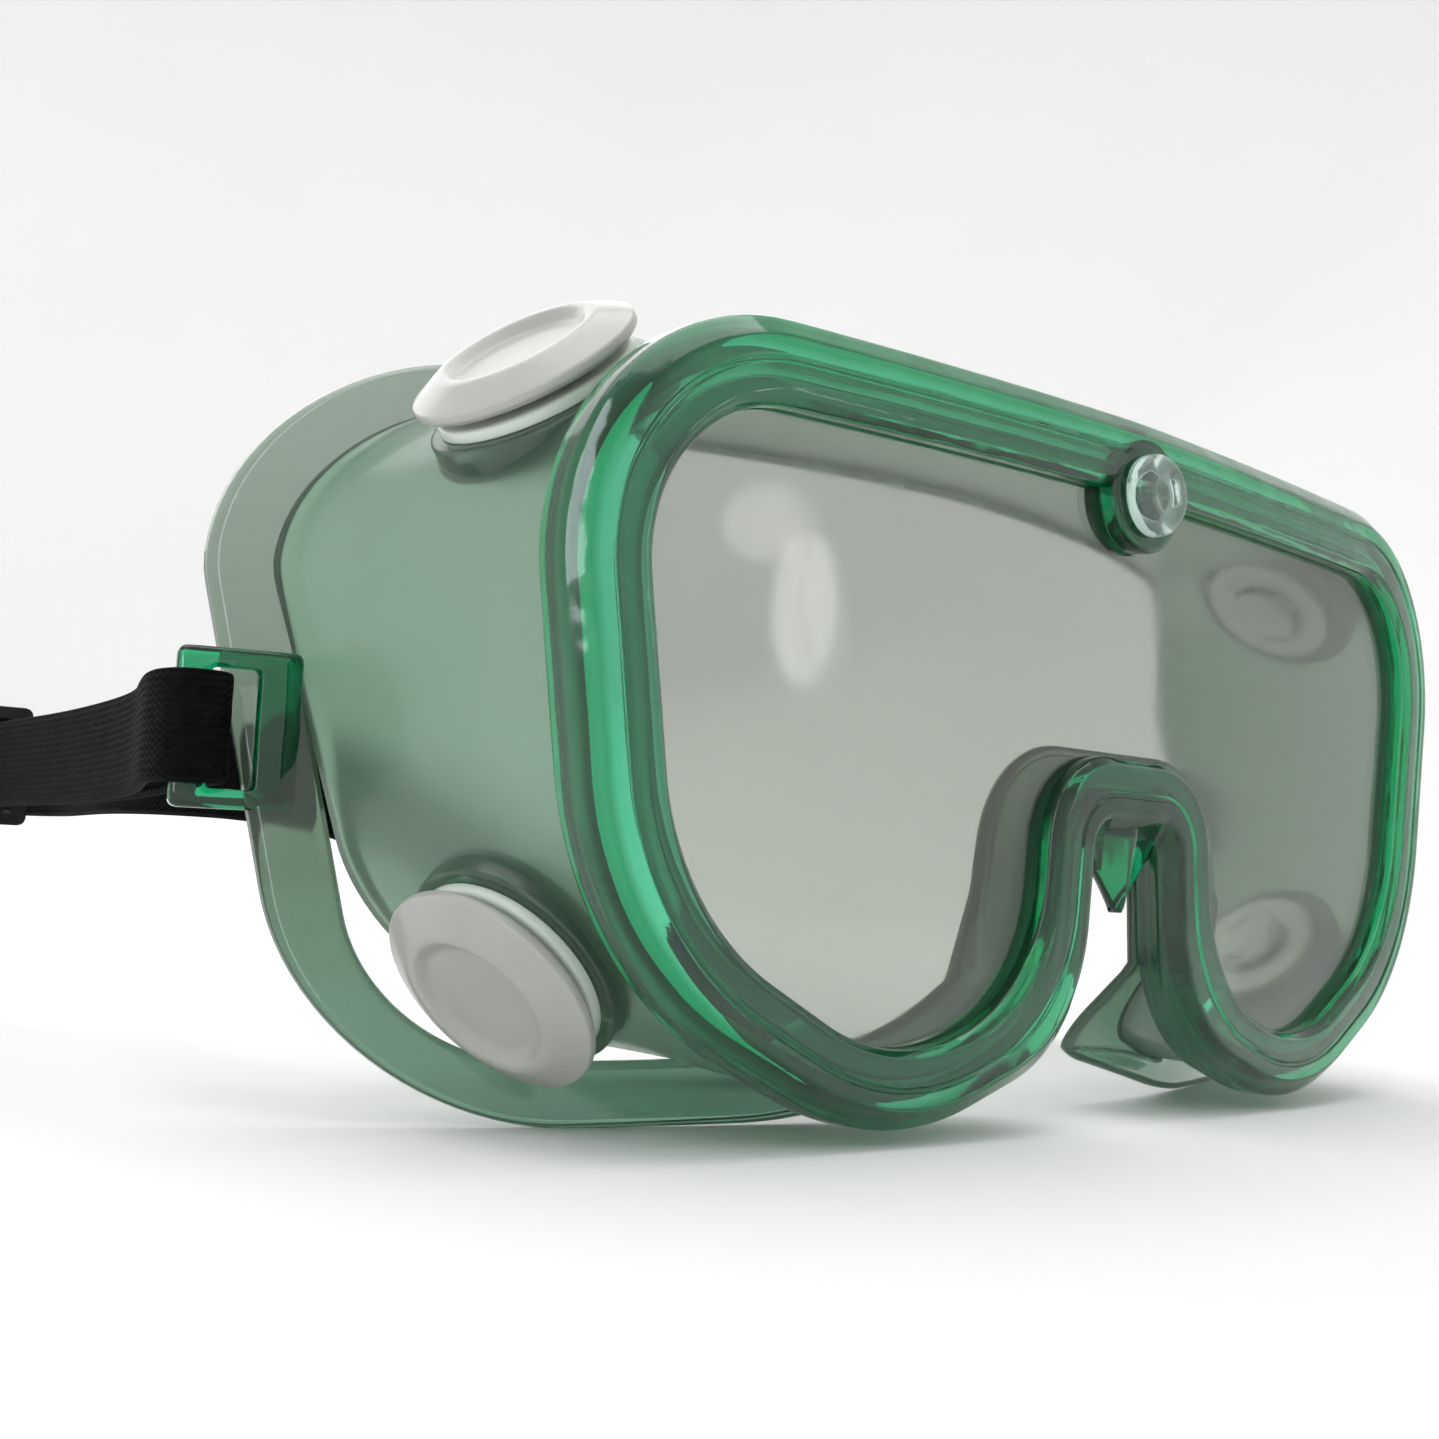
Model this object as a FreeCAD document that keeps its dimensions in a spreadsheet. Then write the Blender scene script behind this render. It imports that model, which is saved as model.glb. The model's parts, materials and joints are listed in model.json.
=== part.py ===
import FreeCAD, Part
import math
import os
import Sketcher
from FreeCAD import Placement, Rotation, Vector

# Safety goggles: a soft one-piece frame, a curved lens, a snap stud, four capped vents and an elastic strap.
# Millimetres. +X to the right seen from the front, +Y from the lens towards the face, +Z up.
# The pieces are drawn with y = 0 on the lens's front surface and z = 0 under the face flange,
# and frame_shift then centres them over the origin.

SIZES = (
    ("opening_width", 145.4, "lens opening, between its brow corners"),
    ("opening_top", 71.7, "height of the opening's brow corners"),
    ("crown_rise", 1.1, "crown of the opening's top edge at the centre"),
    ("cheek_inset", 7.1, "cheek corner, in from the brow corner"),
    ("cheek_height", 22.9, "height of the opening's cheek corner"),
    ("lobe_height", 8.0, "height of the opening's lowest corner"),
    ("lobe_place", 21.2, "lowest corner, out from the nose foot"),
    ("foot_half", 16.7, "nose foot corner, from the centre"),
    ("foot_height", 16.4, "height of the nose foot corner"),
    ("bridge_half", 14.5, "half width of the opening's nose arch"),
    ("bridge_height", 42.2, "height of the opening's nose arch"),
    ("brow_radius", 16.0, "opening brow corner"),
    ("cheek_radius", 26.0, "opening cheek corner"),
    ("lobe_radius", 22.8, "opening lowest corner"),
    ("foot_radius", 19.2, "opening nose foot corner"),
    ("bridge_radius", 10.7, "opening nose arch corners"),
    ("crown_radius", 400.0, "soft corner at the crown"),
    ("front_curve", 656.0, "radius of the lens and rim, seen from above"),
    ("lens_thickness", 1.5, "lens pane"),
    ("lens_seat", 3.0, "how far the lens reaches into the rim"),
    ("lens_gap", 0.05, "clearance round the lens in its groove"),
    ("rim_width", 9.0, "rim, from the opening outwards"),
    ("rim_lobe_rise", 1.5, "rim's lowest corner, raised so that the rim is narrower there"),
    ("rim_lip", 2.6, "rim in front of the lens"),
    ("rim_back", 2.9, "back of the rim behind the lens front"),
    ("rim_bevel", 2.2, "bevel round the rim's front"),
    ("skirt_step", 3.0, "skirt, in from the rim's outside"),
    ("wall", 1.6, "skirt wall"),
    ("flange_width", 4.8, "face flange outside the skirt"),
    ("flange_thickness", 1.4, "face flange"),
    ("flange_brow_half", 90.2, "flange outline: brow corner from the centre"),
    ("flange_top", 80.9, "flange outline: top"),
    ("flange_brow_radius", 24.0, "flange outline: brow corner"),
    ("flange_cheek_half", 82.0, "flange outline: cheek corner from the centre"),
    ("flange_bottom", 0.2, "flange outline: bottom, clear of the table"),
    ("flange_cheek_radius", 28.0, "flange outline: cheek corner"),
    ("flange_lobe_half", 35.0, "flange outline: end of the level bottom"),
    ("flange_lobe_rise", 0.8, "flange outline: rise to that corner"),
    ("flange_lobe_radius", 60.0, "flange outline: that corner"),
    ("flange_foot_half", 7.8, "flange outline: nose foot from the centre"),
    ("flange_foot_height", 7.2, "flange outline: nose foot height"),
    ("flange_foot_radius", 8.0, "flange outline: nose foot corner"),
    ("flange_bridge_half", 6.2, "flange outline: nose arch half width"),
    ("flange_bridge_height", 33.0, "flange outline: nose arch height"),
    ("flange_bridge_radius", 2.0, "flange outline: nose arch corner"),
    ("skirt_end", 62.0, "plane where the skirt's section equals the flange outline"),
    ("face_radius", 150.0, "radius of the face surface, seen from above"),
    ("face_depth", 27.5, "face surface behind the lens at the brow centre"),
    ("face_break_height", 57.4, "height where the face surface starts to slope"),
    ("face_slope", 13.5, "slope of the lower face surface, degrees"),
    ("nose_depth", 4.2, "nose surface behind the lens front"),
    ("nose_half", 23.0, "half width of the nose surface"),
    ("nose_flare", 40.0, "flare of its sides, degrees"),
    ("nose_break_height", 18.5, "height where the nose surface slopes back"),
    ("nose_slope", 47.0, "slope of the nose surface below, degrees"),
    ("pad_half", 20.6, "half width of the face opening's nose arch"),
    ("pad_height", 43.0, "height of that arch"),
    ("pad_radius", 13.0, "corner of that arch"),
    ("pad_foot_half", 25.5, "foot of that arch from the centre"),
    ("pad_foot_height", 11.0, "height of that foot"),
    ("web_height", 25.0, "lowest point of the web under the nose arch"),
    ("web_thickness", 1.5, "web under the nose arch"),
    ("tab_radius", 6.6, "centre tab round the stud"),
    ("stud_drop", 0.2, "stud's axis below the crown of the opening"),
    ("stud_head", 9.6, "stud head diameter"),
    ("stud_head_thickness", 2.6, "stud head thickness"),
    ("stud_shank", 4.6, "stud shank diameter"),
    ("stud_dimple", 0.7, "depth of the dimple in the head"),
    ("stud_end", 0.8, "shank past the collar"),
    ("stud_fit", 0.1, "clearance round the shank"),
    ("collar_diameter", 8.4, "collar behind the rim"),
    ("collar_thickness", 1.6, "collar thickness"),
    ("vent_upper_depth", 24.2, "upper vent axes behind the lens front"),
    ("vent_lower_depth", 26.0, "lower vent axes behind the lens front"),
    ("vent_upper_angle", 49.0, "upper vents above level, degrees"),
    ("vent_lower_angle", 40.0, "lower vents below level, degrees"),
    ("vent_tilt", 6.0, "vent axes turned to the front, degrees"),
    ("boss_diameter", 24.0, "vent boss"),
    ("boss_proud", 0.4, "vent boss outside the wall"),
    ("boss_inside", 3.8, "vent boss inwards from the wall's outside"),
    ("neck_diameter", 15.0, "vent base neck"),
    ("neck_gap", 0.1, "clearance round the neck"),
    ("seat_gap", 0.05, "clearance under each vent flange"),
    ("seat_room", 0.4, "room round the vent's flanges and cap"),
    ("base_flange", 21.4, "vent base outer flange diameter"),
    ("base_flange_thickness", 1.3, "vent base outer flange"),
    ("base_inner_flange", 18.4, "vent base inner flange diameter"),
    ("base_inner_thickness", 1.3, "vent base inner flange"),
    ("vent_bore", 10.0, "air bore through the base"),
    ("cap_diameter", 24.0, "vent cap diameter"),
    ("cap_thickness", 3.1, "vent cap thickness"),
    ("cap_edge", 1.4, "upright part of the cap's edge"),
    ("cap_face", 17.0, "flat of the cap inside its sloping edge"),
    ("cap_dish", 1.1, "depth of the dish in the cap"),
    ("cap_dish_diameter", 13.0, "floor of the dish"),
    ("cap_gap", 1.0, "air gap between cap and base"),
    ("leg_gap", 0.05, "running clearance of the legs in the bore"),
    ("leg_thickness", 1.3, "cap leg, radially"),
    ("leg_width", 3.6, "cap leg, round the bore"),
    ("leg_barb", 0.8, "barb at the end of each leg"),
    ("leg_barb_length", 1.3, "length of the barb"),
    ("leg_play", 0.15, "play between barb and base"),
    ("leg_floor", 0.9, "disc that joins the legs' ends and hides the bore"),
    ("ear_depth", 45.6, "strap ear's root behind the lens front"),
    ("ear_root_half", 80.6, "strap ear's root from the centre"),
    ("ear_angle", 18.0, "ear swept back, degrees"),
    ("ear_length", 12.6, "ear from root to tip"),
    ("ear_height", 39.4, "height of the ear's middle"),
    ("ear_play", 1.0, "room for the strap in the height of the ear's window"),
    ("ear_rail", 2.0, "top and bottom of the ear"),
    ("ear_bar", 3.4, "outer bar of the ear"),
    ("ear_thickness", 2.2, "thickness of the ear"),
    ("ear_slot", 4.8, "length of the ear's window"),
    ("strap_width", 11.4, "elastic strap width"),
    ("strap_thickness", 1.4, "elastic strap thickness"),
    ("strap_drop", 0.1, "strap's middle below the ear's"),
    ("leg_sink", 1.7, "strap's left leg below its middle at the ears"),
    ("strap_gap", 0.4, "space between the strap's two layers"),
    ("strap_clear", 0.35, "space between the strap and what it goes round"),
    ("slider_length", 11.0, "strap slider, along the strap"),
    ("slider_wall", 1.6, "walls of the slider"),
    ("slider_gap", 0.45, "clearance round the strap in the slider"),
    ("slider_depth", 137.0, "slider's middle behind the lens front"),
    ("edge_bevel", 0.5, "bevel on the edges of small hard parts"),
)
DERIVED = (
    ("stud_height", "=opening_top + crown_rise - stud_drop"),
    ("ear_window", "=strap_width + ear_play"),
    ("strap_height", "=ear_height - strap_drop"),
    ("base_length", "=base_inner_thickness + 2 * seat_gap + boss_inside + boss_proud + base_flange_thickness"),
    ("leg_length", "=leg_barb_length + leg_play + base_length + cap_gap"),
    ("stud_shaft", "=rim_lip + rim_back + 2 * seat_gap + collar_thickness + stud_end"),
    ("slider_inner_height", "=strap_width + 2 * slider_gap"),
    ("slider_inner_thickness", "=2 * strap_thickness + strap_gap + 2 * slider_gap"),
)

doc = FreeCAD.newDocument("safety_goggles")
dims = doc.addObject("Spreadsheet::Sheet", "dims")
for row, (alias, value, note) in enumerate(SIZES, 1):
    dims.set(f"A{row}", note)
    dims.set(f"B{row}", str(value))
    dims.setAlias(f"B{row}", alias)
for row, (alias, formula) in enumerate(DERIVED, len(SIZES) + 1):
    dims.set(f"A{row}", "follows from the sizes above")
    dims.set(f"B{row}", formula)
    dims.setAlias(f"B{row}", alias)
doc.recompute()


def size(alias):
    """A driving size, read from the sheet."""
    return float(dims.get(alias))


SIDES = (("left", -1), ("right", 1))
REACH = 120.0  # half size of the blocks that bound the trimming solids
TINY = 1e-6


# ---------------------------------------------------------------- outlines


def symmetric(crown, half):
    """Corners (x, z, radius) clockwise seen from the front: the crown, the right half, the left half."""
    return [crown] + half + [(-x, z, radius) for x, z, radius in reversed(half)]


def grown(corners, amount):
    """The outline moved outwards: convex corners get a larger radius and hollow ones a smaller."""
    moved = []
    count = len(corners)
    for i, (x, z, radius) in enumerate(corners):
        before = corners[i - 1]
        after = corners[(i + 1) % count]
        into = Vector(x - before[0], 0, z - before[1]).normalize()
        out = Vector(after[0] - x, 0, after[1] - z).normalize()
        normals = Vector(-into.z, 0, into.x) + Vector(-out.z, 0, out.x)
        shift = normals * (amount / (1 + into.dot(out)))
        convex = into.x * out.z - into.z * out.x < 0
        moved.append((x + shift.x, z + shift.z, radius + amount if convex else radius - amount))
    return moved


def wire(corners, y):
    """Closed wire through rounded corners in the plane at depth y."""
    arcs = []
    count = len(corners)
    for i, (x, z, radius) in enumerate(corners):
        before = corners[i - 1]
        after = corners[(i + 1) % count]
        here = Vector(x, y, z)
        back = (Vector(before[0], y, before[1]) - here).normalize()
        ahead = (Vector(after[0], y, after[1]) - here).normalize()
        half = back.getAngle(ahead) / 2
        longest = 0.49 * min(math.dist((x, z), before[:2]), math.dist((x, z), after[:2]))
        run = min(radius / math.tan(half), longest)
        bisector = (back + ahead).normalize()
        middle = here + bisector * run * (1 / math.cos(half) - math.tan(half))
        arcs.append((here + back * run, middle, here + ahead * run))
    edges = []
    for i, (start, middle, end) in enumerate(arcs):
        edges.append(Part.Arc(start, middle, end).toShape())
        following = arcs[(i + 1) % count][0]
        if (following - end).Length > TINY:
            edges.append(Part.LineSegment(end, following).toShape())
    return Part.Wire(edges)


def prism(corners, y_from, y_to):
    """Outline extruded along Y."""
    return Part.Face(wire(corners, y_from)).extrude(Vector(0, y_to - y_from, 0))


def opening_outline():
    """Inner edge of the rim: two lobes over the cheeks and an arch over the nose."""
    brow = size("opening_width") / 2
    return symmetric(
        (0, size("opening_top") + size("crown_rise"), size("crown_radius")),
        [
            (brow, size("opening_top"), size("brow_radius")),
            (brow - size("cheek_inset"), size("cheek_height"), size("cheek_radius")),
            (size("foot_half") + size("lobe_place"), size("lobe_height"), size("lobe_radius")),
            (size("foot_half"), size("foot_height"), size("foot_radius")),
            (size("bridge_half"), size("bridge_height"), size("bridge_radius")),
        ],
    )


def flange_outline():
    """Outer edge of the face flange, seen from the front."""
    lobe_height = size("flange_bottom") + size("flange_lobe_rise")
    return symmetric(
        (0, size("flange_top") + size("crown_rise"), size("crown_radius")),
        [
            (size("flange_brow_half"), size("flange_top"), size("flange_brow_radius")),
            (size("flange_cheek_half"), size("flange_bottom"), size("flange_cheek_radius")),
            (size("flange_lobe_half"), lobe_height, size("flange_lobe_radius")),
            (size("flange_foot_half"), size("flange_foot_height"), size("flange_foot_radius")),
            (size("flange_bridge_half"), size("flange_bridge_height"), size("flange_bridge_radius")),
        ],
    )


def face_opening_outline():
    """Hole in the flange for the face: the skirt's inside, with a wider arch that leaves the nose pads."""
    inside = grown(flange_outline(), -size("flange_width") - size("wall"))
    foot_radius = size("flange_foot_radius")
    nose = [
        (size("pad_foot_half"), size("pad_foot_height"), foot_radius),
        (size("pad_half"), size("pad_height"), size("pad_radius")),
    ]
    lobe_x = size("pad_foot_half") + size("lobe_place")
    lobe = [(lobe_x, inside[3][1], foot_radius)]
    return symmetric(inside[0], inside[1:3] + lobe + nose)


OPENING = opening_outline()
FLANGE = flange_outline()


def rim_outline(amount):
    """Outline round the opening, a little nearer to it under the two lobes."""
    rise = size("rim_lobe_rise") * amount / size("rim_width")
    corners = grown(OPENING, amount)
    for i in (3, len(corners) - 3):
        x, z, radius = corners[i]
        corners[i] = (x, z + rise, radius)
    return corners


# ---------------------------------------------------------------- trimming solids


def front_slab(y_from, y_to):
    """Curved slab between two depths behind the lens front, bent about a vertical axis."""
    radius = size("front_curve")
    base = Vector(0, 0, -REACH)

    def drum(y):
        centre = base + Vector(0, y + radius, 0)
        return Part.makeCylinder(radius, 2 * REACH, centre, Vector(0, 0, 1), 360)

    block = Part.makeBox(2 * REACH, REACH, 2 * REACH, Vector(-REACH, -REACH / 2, -REACH))
    return drum(y_from).common(block).cut(drum(y_to))


def face_form(swell):
    """The wearer's face, swollen by a thickness: two drums, upright and sloping, and a blunt nose."""
    radius = size("face_radius") + swell
    axis_y = size("face_depth") + size("face_radius")
    turn = Vector(0, axis_y, size("face_break_height"))
    upright = Part.makeCylinder(radius, 4 * REACH, turn - Vector(0, 0, 2 * REACH), Vector(0, 0, 1))
    sloping = Part.makeCylinder(radius, 4 * REACH, turn - Vector(0, 0, 2 * REACH), Vector(0, 0, 1))
    pivot = Vector(0, size("face_depth"), size("face_break_height"))
    sloping.rotate(pivot, Vector(1, 0, 0), -size("face_slope"))

    near = size("nose_depth") - swell
    knee = size("nose_break_height")
    far = size("face_depth") + REACH / 4
    drop = (far - near) * math.tan(math.radians(90 - size("nose_slope")))
    crown = size("pad_height") + size("web_thickness") + swell
    profile = [
        Vector(-REACH, near, crown),
        Vector(-REACH, near, knee),
        Vector(-REACH, far, knee - drop),
        Vector(-REACH, far, crown),
    ]
    side_view = Part.Face(Part.makePolygon(profile + profile[:1])).extrude(Vector(2 * REACH, 0, 0))
    half = size("nose_half") + swell
    flared = half + (far - near) * math.tan(math.radians(size("nose_flare")))
    plan = [
        Vector(-half, near, -REACH),
        Vector(half, near, -REACH),
        Vector(flared, far, -REACH),
        Vector(-flared, far, -REACH),
    ]
    top_view = Part.Face(Part.makePolygon(plan + plan[:1])).extrude(Vector(0, 0, 2 * REACH))
    return upright.fuse(sloping).fuse(side_view.common(top_view))


# ---------------------------------------------------------------- frame


def skirt_loft(inset):
    """Solid tube from the rim to the face, its section growing from the rim's outline to the flange's."""
    front = rim_outline(size("rim_width") - size("skirt_step") - inset)
    back = grown(FLANGE, -size("flange_width") - inset)
    return Part.makeLoft([wire(front, size("rim_back") - 1), wire(back, size("skirt_end"))], True, True)


def vent_axis(side, level):
    """Point on the skirt's outside and outward direction of one vent."""
    angle = math.radians(size("vent_upper_angle") if level == "upper" else -size("vent_lower_angle"))
    tilt = math.radians(size("vent_tilt"))
    outward = Vector(side * math.cos(angle) * math.cos(tilt), -math.sin(tilt), math.sin(angle) * math.cos(tilt))
    corner = 1 if level == "upper" else 2
    x, z, radius = OPENING[corner]
    neighbours = (OPENING[corner - 1], OPENING[corner + 1])
    here = Vector(x, 0, z)
    arms = [(Vector(n[0], 0, n[1]) - here).normalize() for n in neighbours]
    half = arms[0].getAngle(arms[1]) / 2
    centre = here + (arms[0] + arms[1]).normalize() * (radius / math.sin(half))
    start = Vector(side * centre.x, size(f"vent_{level}_depth"), centre.z)
    ray = Part.LineSegment(start, start + outward * REACH).toShape()
    inside = ray.common(skirt_loft(0))
    exits = [v.Point for v in inside.Vertexes]
    seat = max(exits, key=lambda point: (point - start).Length)
    return seat, outward


VENTS = [(f"{level}_{name}", *vent_axis(side, level)) for level in ("upper", "lower") for name, side in SIDES]


def ear_placement(side):
    """Where the flat strap ear stands: local X from root to tip, local Z up."""
    root = Vector(side * size("ear_root_half"), size("ear_depth"), size("ear_height"))
    swept = Rotation(Vector(0, 0, 1), side * size("ear_angle"))
    turned = Rotation(Vector(0, 0, 1), 0 if side > 0 else 180)
    return Placement(root, swept.multiply(turned))


def ear(side):
    """Strap ear: a flat plate with a window, rooted in the skirt."""
    tall = size("ear_window") + 2 * size("ear_rail")
    thick = size("ear_thickness")
    plate = Part.makeBox(size("ear_length"), thick, tall, Vector(0, -thick / 2, -tall / 2))
    start = size("ear_length") - size("ear_bar") - size("ear_slot")
    window = Part.makeBox(
        size("ear_slot"), 3 * thick, size("ear_window"), Vector(start, -1.5 * thick, -size("ear_window") / 2)
    )
    shape = plate.cut(window)
    shape.Placement = ear_placement(side)
    return shape


def ear_notch(side):
    """Gap in the flange that lets the strap run back from the ear."""
    tall = size("ear_window") + 2 * size("ear_rail")
    start = size("ear_length") - size("ear_bar") - size("ear_slot")
    across = REACH / 5  # more than the flange's depth here
    block = Part.makeBox(size("ear_length"), across, tall, Vector(start, -across / 2, -tall / 2))
    block.Placement = ear_placement(side)
    return block


def rim():
    """Bevelled rim with the lens groove, the stud tab and the web under the nose arch."""
    lip = -size("rim_lip")
    bevel = size("rim_bevel")
    outer = rim_outline(size("rim_width"))
    depth = REACH / 4  # clear of the rim both ways
    body = prism(outer, -depth, depth).common(front_slab(lip + bevel, size("rim_back")))
    steps = 4
    for step in range(steps):
        # the bevel is a quarter round, cut into short steps that the eye reads as a soft edge
        angle = math.radians(90 * (step + 0.5) / steps)
        shelf = rim_outline(size("rim_width") - bevel * (1 - math.cos(angle)))
        low = lip + bevel * (1 - math.sin(math.radians(90 * (step + 1) / steps)))
        layer = prism(shelf, -depth, depth).common(front_slab(low, lip + bevel + TINY * 10))
        body = body.fuse(layer)
    middle = Vector(0, -depth, size("stud_height"))
    tab = Part.makeCylinder(size("tab_radius"), 2 * depth, middle, Vector(0, 1, 0))
    tab = tab.common(front_slab(lip, size("rim_back")))
    body = body.cut(prism(OPENING, -depth, depth)).fuse(tab)

    arch = size("bridge_half") - size("rim_width")
    top = size("bridge_height") - size("rim_width") / 2
    shoulder = size("web_height") + arch
    web = [
        Vector(-arch - 3, 0, top),
        Vector(arch + 3, 0, top),
        Vector(arch + 3, 0, shoulder),
        Vector(0, 0, size("web_height")),
        Vector(-arch - 3, 0, shoulder),
    ]
    plate = Part.Face(Part.makePolygon(web + web[:1])).extrude(Vector(0, size("web_thickness"), 0))
    plate = plate.cut(prism(grown(OPENING, size("rim_width") / 2), -depth, depth))
    body = body.fuse(plate)

    gap = size("lens_gap")
    groove = prism(grown(OPENING, size("lens_seat") + gap), -depth, depth)
    body = body.cut(groove.common(front_slab(-gap, size("lens_thickness") + gap)))
    hole = (size("stud_shank") / 2) + size("stud_fit")
    return body.cut(Part.makeCylinder(hole, 2 * depth, middle, Vector(0, 1, 0)))


def frame_shape():
    """The whole soft moulding."""
    face = face_form(0)
    skirt = skirt_loft(0).cut(skirt_loft(size("wall"))).cut(face)
    slab = face_form(size("flange_thickness")).cut(face)
    flange = slab.common(prism(FLANGE, -REACH, REACH)).cut(prism(face_opening_outline(), -REACH, REACH))
    flange = flange.common(front_trim())
    for _, side in SIDES:
        flange = flange.cut(ear_notch(side))
    body = rim().fuse(skirt).fuse(flange)
    for _, seat, outward in VENTS:
        boss_length = size("boss_inside") + size("boss_proud")
        start = seat - outward * size("boss_inside")
        body = body.fuse(Part.makeCylinder(size("boss_diameter") / 2, boss_length, start, outward))
    for _, side in SIDES:
        body = body.fuse(ear(side))
    room = 2 * size("boss_inside")
    for _, seat, outward in VENTS:
        radius = size("neck_diameter") / 2 + size("neck_gap")
        start = seat - outward * 4 * size("boss_inside")
        body = body.cut(Part.makeCylinder(radius, 8 * size("boss_inside"), start, outward))
        # flat seats, wide enough for what turns or lies on them
        inner = size("base_inner_flange") / 2 + size("seat_room")
        start = seat - outward * (size("boss_inside") + room)
        body = body.cut(Part.makeCylinder(inner, room, start, outward))
        outer = size("cap_diameter") / 2 + size("seat_room")
        body = body.cut(Part.makeCylinder(outer, room, seat + outward * size("boss_proud"), outward))
    return body.removeSplitter()


def front_trim():
    """Everything behind the lens groove, so that the nose pads never reach the lens."""
    return front_slab(size("lens_thickness") + 2 * size("lens_gap"), 2 * REACH / 3)


# ---------------------------------------------------------------- strap


def ear_point(side, along, across):
    """Point in plan beside a strap ear: along it from its root, and across it towards the back."""
    angle = math.radians(size("ear_angle"))
    x = size("ear_root_half") + along * math.cos(angle) - across * math.sin(angle)
    return side * x, size("ear_depth") + along * math.sin(angle) + across * math.cos(angle)


def bar_loop(side):
    """Stations (x, y, z, twist) of the strap round the ear's outer bar, from the window to the outside."""
    bar = size("ear_length") - size("ear_bar") / 2
    corner = math.hypot(size("ear_bar"), size("ear_thickness")) / 2
    radius = corner + size("strap_clear") + size("strap_thickness") / 2
    stations = []
    for step in range(9):
        angle = math.radians(180 + 22.5 * step)
        x, y = ear_point(side, bar + radius * math.cos(angle), radius * math.sin(angle))
        stations.append((x, y, size("strap_height"), 0))
    return stations


LEG_START = (-84.5, 92.0)  # where the left leg of the strap runs straight, seen from above
LEG_HEADING = (0.1205, 0.9927)


def leg_point(depth, inwards):
    """Point on the straight left leg at a depth, moved across it towards the middle."""
    run = (depth - LEG_START[1]) / LEG_HEADING[1]
    x = LEG_START[0] + run * LEG_HEADING[0] + inwards * LEG_HEADING[1]
    return x, depth - inwards * LEG_HEADING[0]


def strap_stations():
    """Centre line of the strap and its twist in degrees: 0 stands on edge and 90 lies flat."""
    high = size("strap_height")
    low = size("strap_thickness") / 2 + size("flange_bottom") + size("flange_lobe_rise")
    pitch = size("strap_thickness") + size("strap_gap")
    tail_end = size("slider_depth") + size("slider_length")
    tail = [leg_point(y, pitch) for y in (tail_end, tail_end - 20, 105, 84)]
    leg_height = high - size("leg_sink")
    left = [(x, y, leg_height, 0) for x, y in tail] + [(-86.3, 66, high - 1.2, 0), (-87.9, 56, high, 0)]
    leg = [(-93.4, 54.0, high, 0), (-89.0, 65, high - 1.2, 0)]
    leg += [(*leg_point(y, 0), leg_height, 0) for y in (84, 105, tail_end - 20, tail_end)]
    turn = [(-76.0, 157), (-72.5, 163.5), (-66.5, 164), (-63.2, 157), (-64.2, 145), (-68.5, 125), (-73.0, 105)]
    turn = [(x, y, high - 2.4, 0) for x, y in turn]
    rest = [
        (-75.0, 88, high - 2.5, 0),
        (-70.5, 73, high - 3, 0),
        (-60.0, 66.5, high - 5, 5),
        (-48.5, 63.0, high - 14, 25),
        (-38.0, 61.5, low + 9, 55),
        (-22.0, 61, low + 1.8, 80),
        (0.0, 61, low, 90),
        (30.0, 63, low, 90),
        (55.0, 69, low + 0.8, 85),
        (77.0, 77, low + 6, 60),
        (92.0, 77, high - 18, 30),
        (97.0, 67, high - 6, 8),
        (95.8, 57.5, high, 0),
    ]
    right = [(89.6, 56, high, 0), (91.4, 64, high, 0), (93.2, 73, high - 2, 2)]
    return left + bar_loop(-1) + leg + turn + rest + bar_loop(1)[::-1] + right


FINE_STEPS = 1600  # steps along the strap in which its bend is followed
SECTION_TURN = math.radians(14)
SECTION_RUN = 7.0  # a new section after this turn or this length


def strap_shape():
    """Flat elastic swept along its stations, as ruled faces between closely spaced sections."""
    stations = strap_stations()
    marks = [0.0]
    for before, after in zip(stations, stations[1:]):
        marks.append(marks[-1] + math.dist(before[:3], after[:3]))
    curve = Part.BSplineCurve()
    curve.interpolate(Points=[Vector(*station[:3]) for station in stations], Parameters=marks)
    half_width = size("strap_width") / 2
    half_thick = size("strap_thickness") / 2
    sections = []
    last = None
    length = 0.0
    span = 0
    previous = curve.value(0)
    for i in range(FINE_STEPS + 1):
        mark = marks[-1] * i / FINE_STEPS
        point = curve.value(mark)
        heading = Vector(*curve.tangent(mark)[0]).normalize()
        length += (point - previous).Length
        previous = point
        while span < len(marks) - 2 and mark > marks[span + 1]:
            span += 1
        bent = last is None or heading.getAngle(last[0]) > SECTION_TURN or length - last[1] > SECTION_RUN
        if not bent and i < FINE_STEPS:
            continue
        share = (mark - marks[span]) / (marks[span + 1] - marks[span])
        share = share * share * (3 - 2 * share)
        twist = math.radians(stations[span][3] * (1 - share) + stations[span + 1][3] * share)
        level = heading.cross(Vector(0, 0, 1)).normalize()
        upright = level.cross(heading)
        width = upright * math.cos(twist) + level * math.sin(twist)
        depth = heading.cross(width)
        corners = [point + width * a * half_width + depth * b * half_thick
                   for a, b in ((1, 1), (1, -1), (-1, -1), (-1, 1))]
        sections.append(Part.makePolygon(corners + corners[:1]))
        last = (heading, length)
    return Part.makeLoft(sections, True, True), length


# ---------------------------------------------------------------- document objects


def add_shape(label, shape):
    """Free-form piece as a document object."""
    piece = doc.addObject("Part::Feature", label)
    piece.Label = label
    piece.Shape = shape
    piece.Placement = Placement()
    return piece


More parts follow.
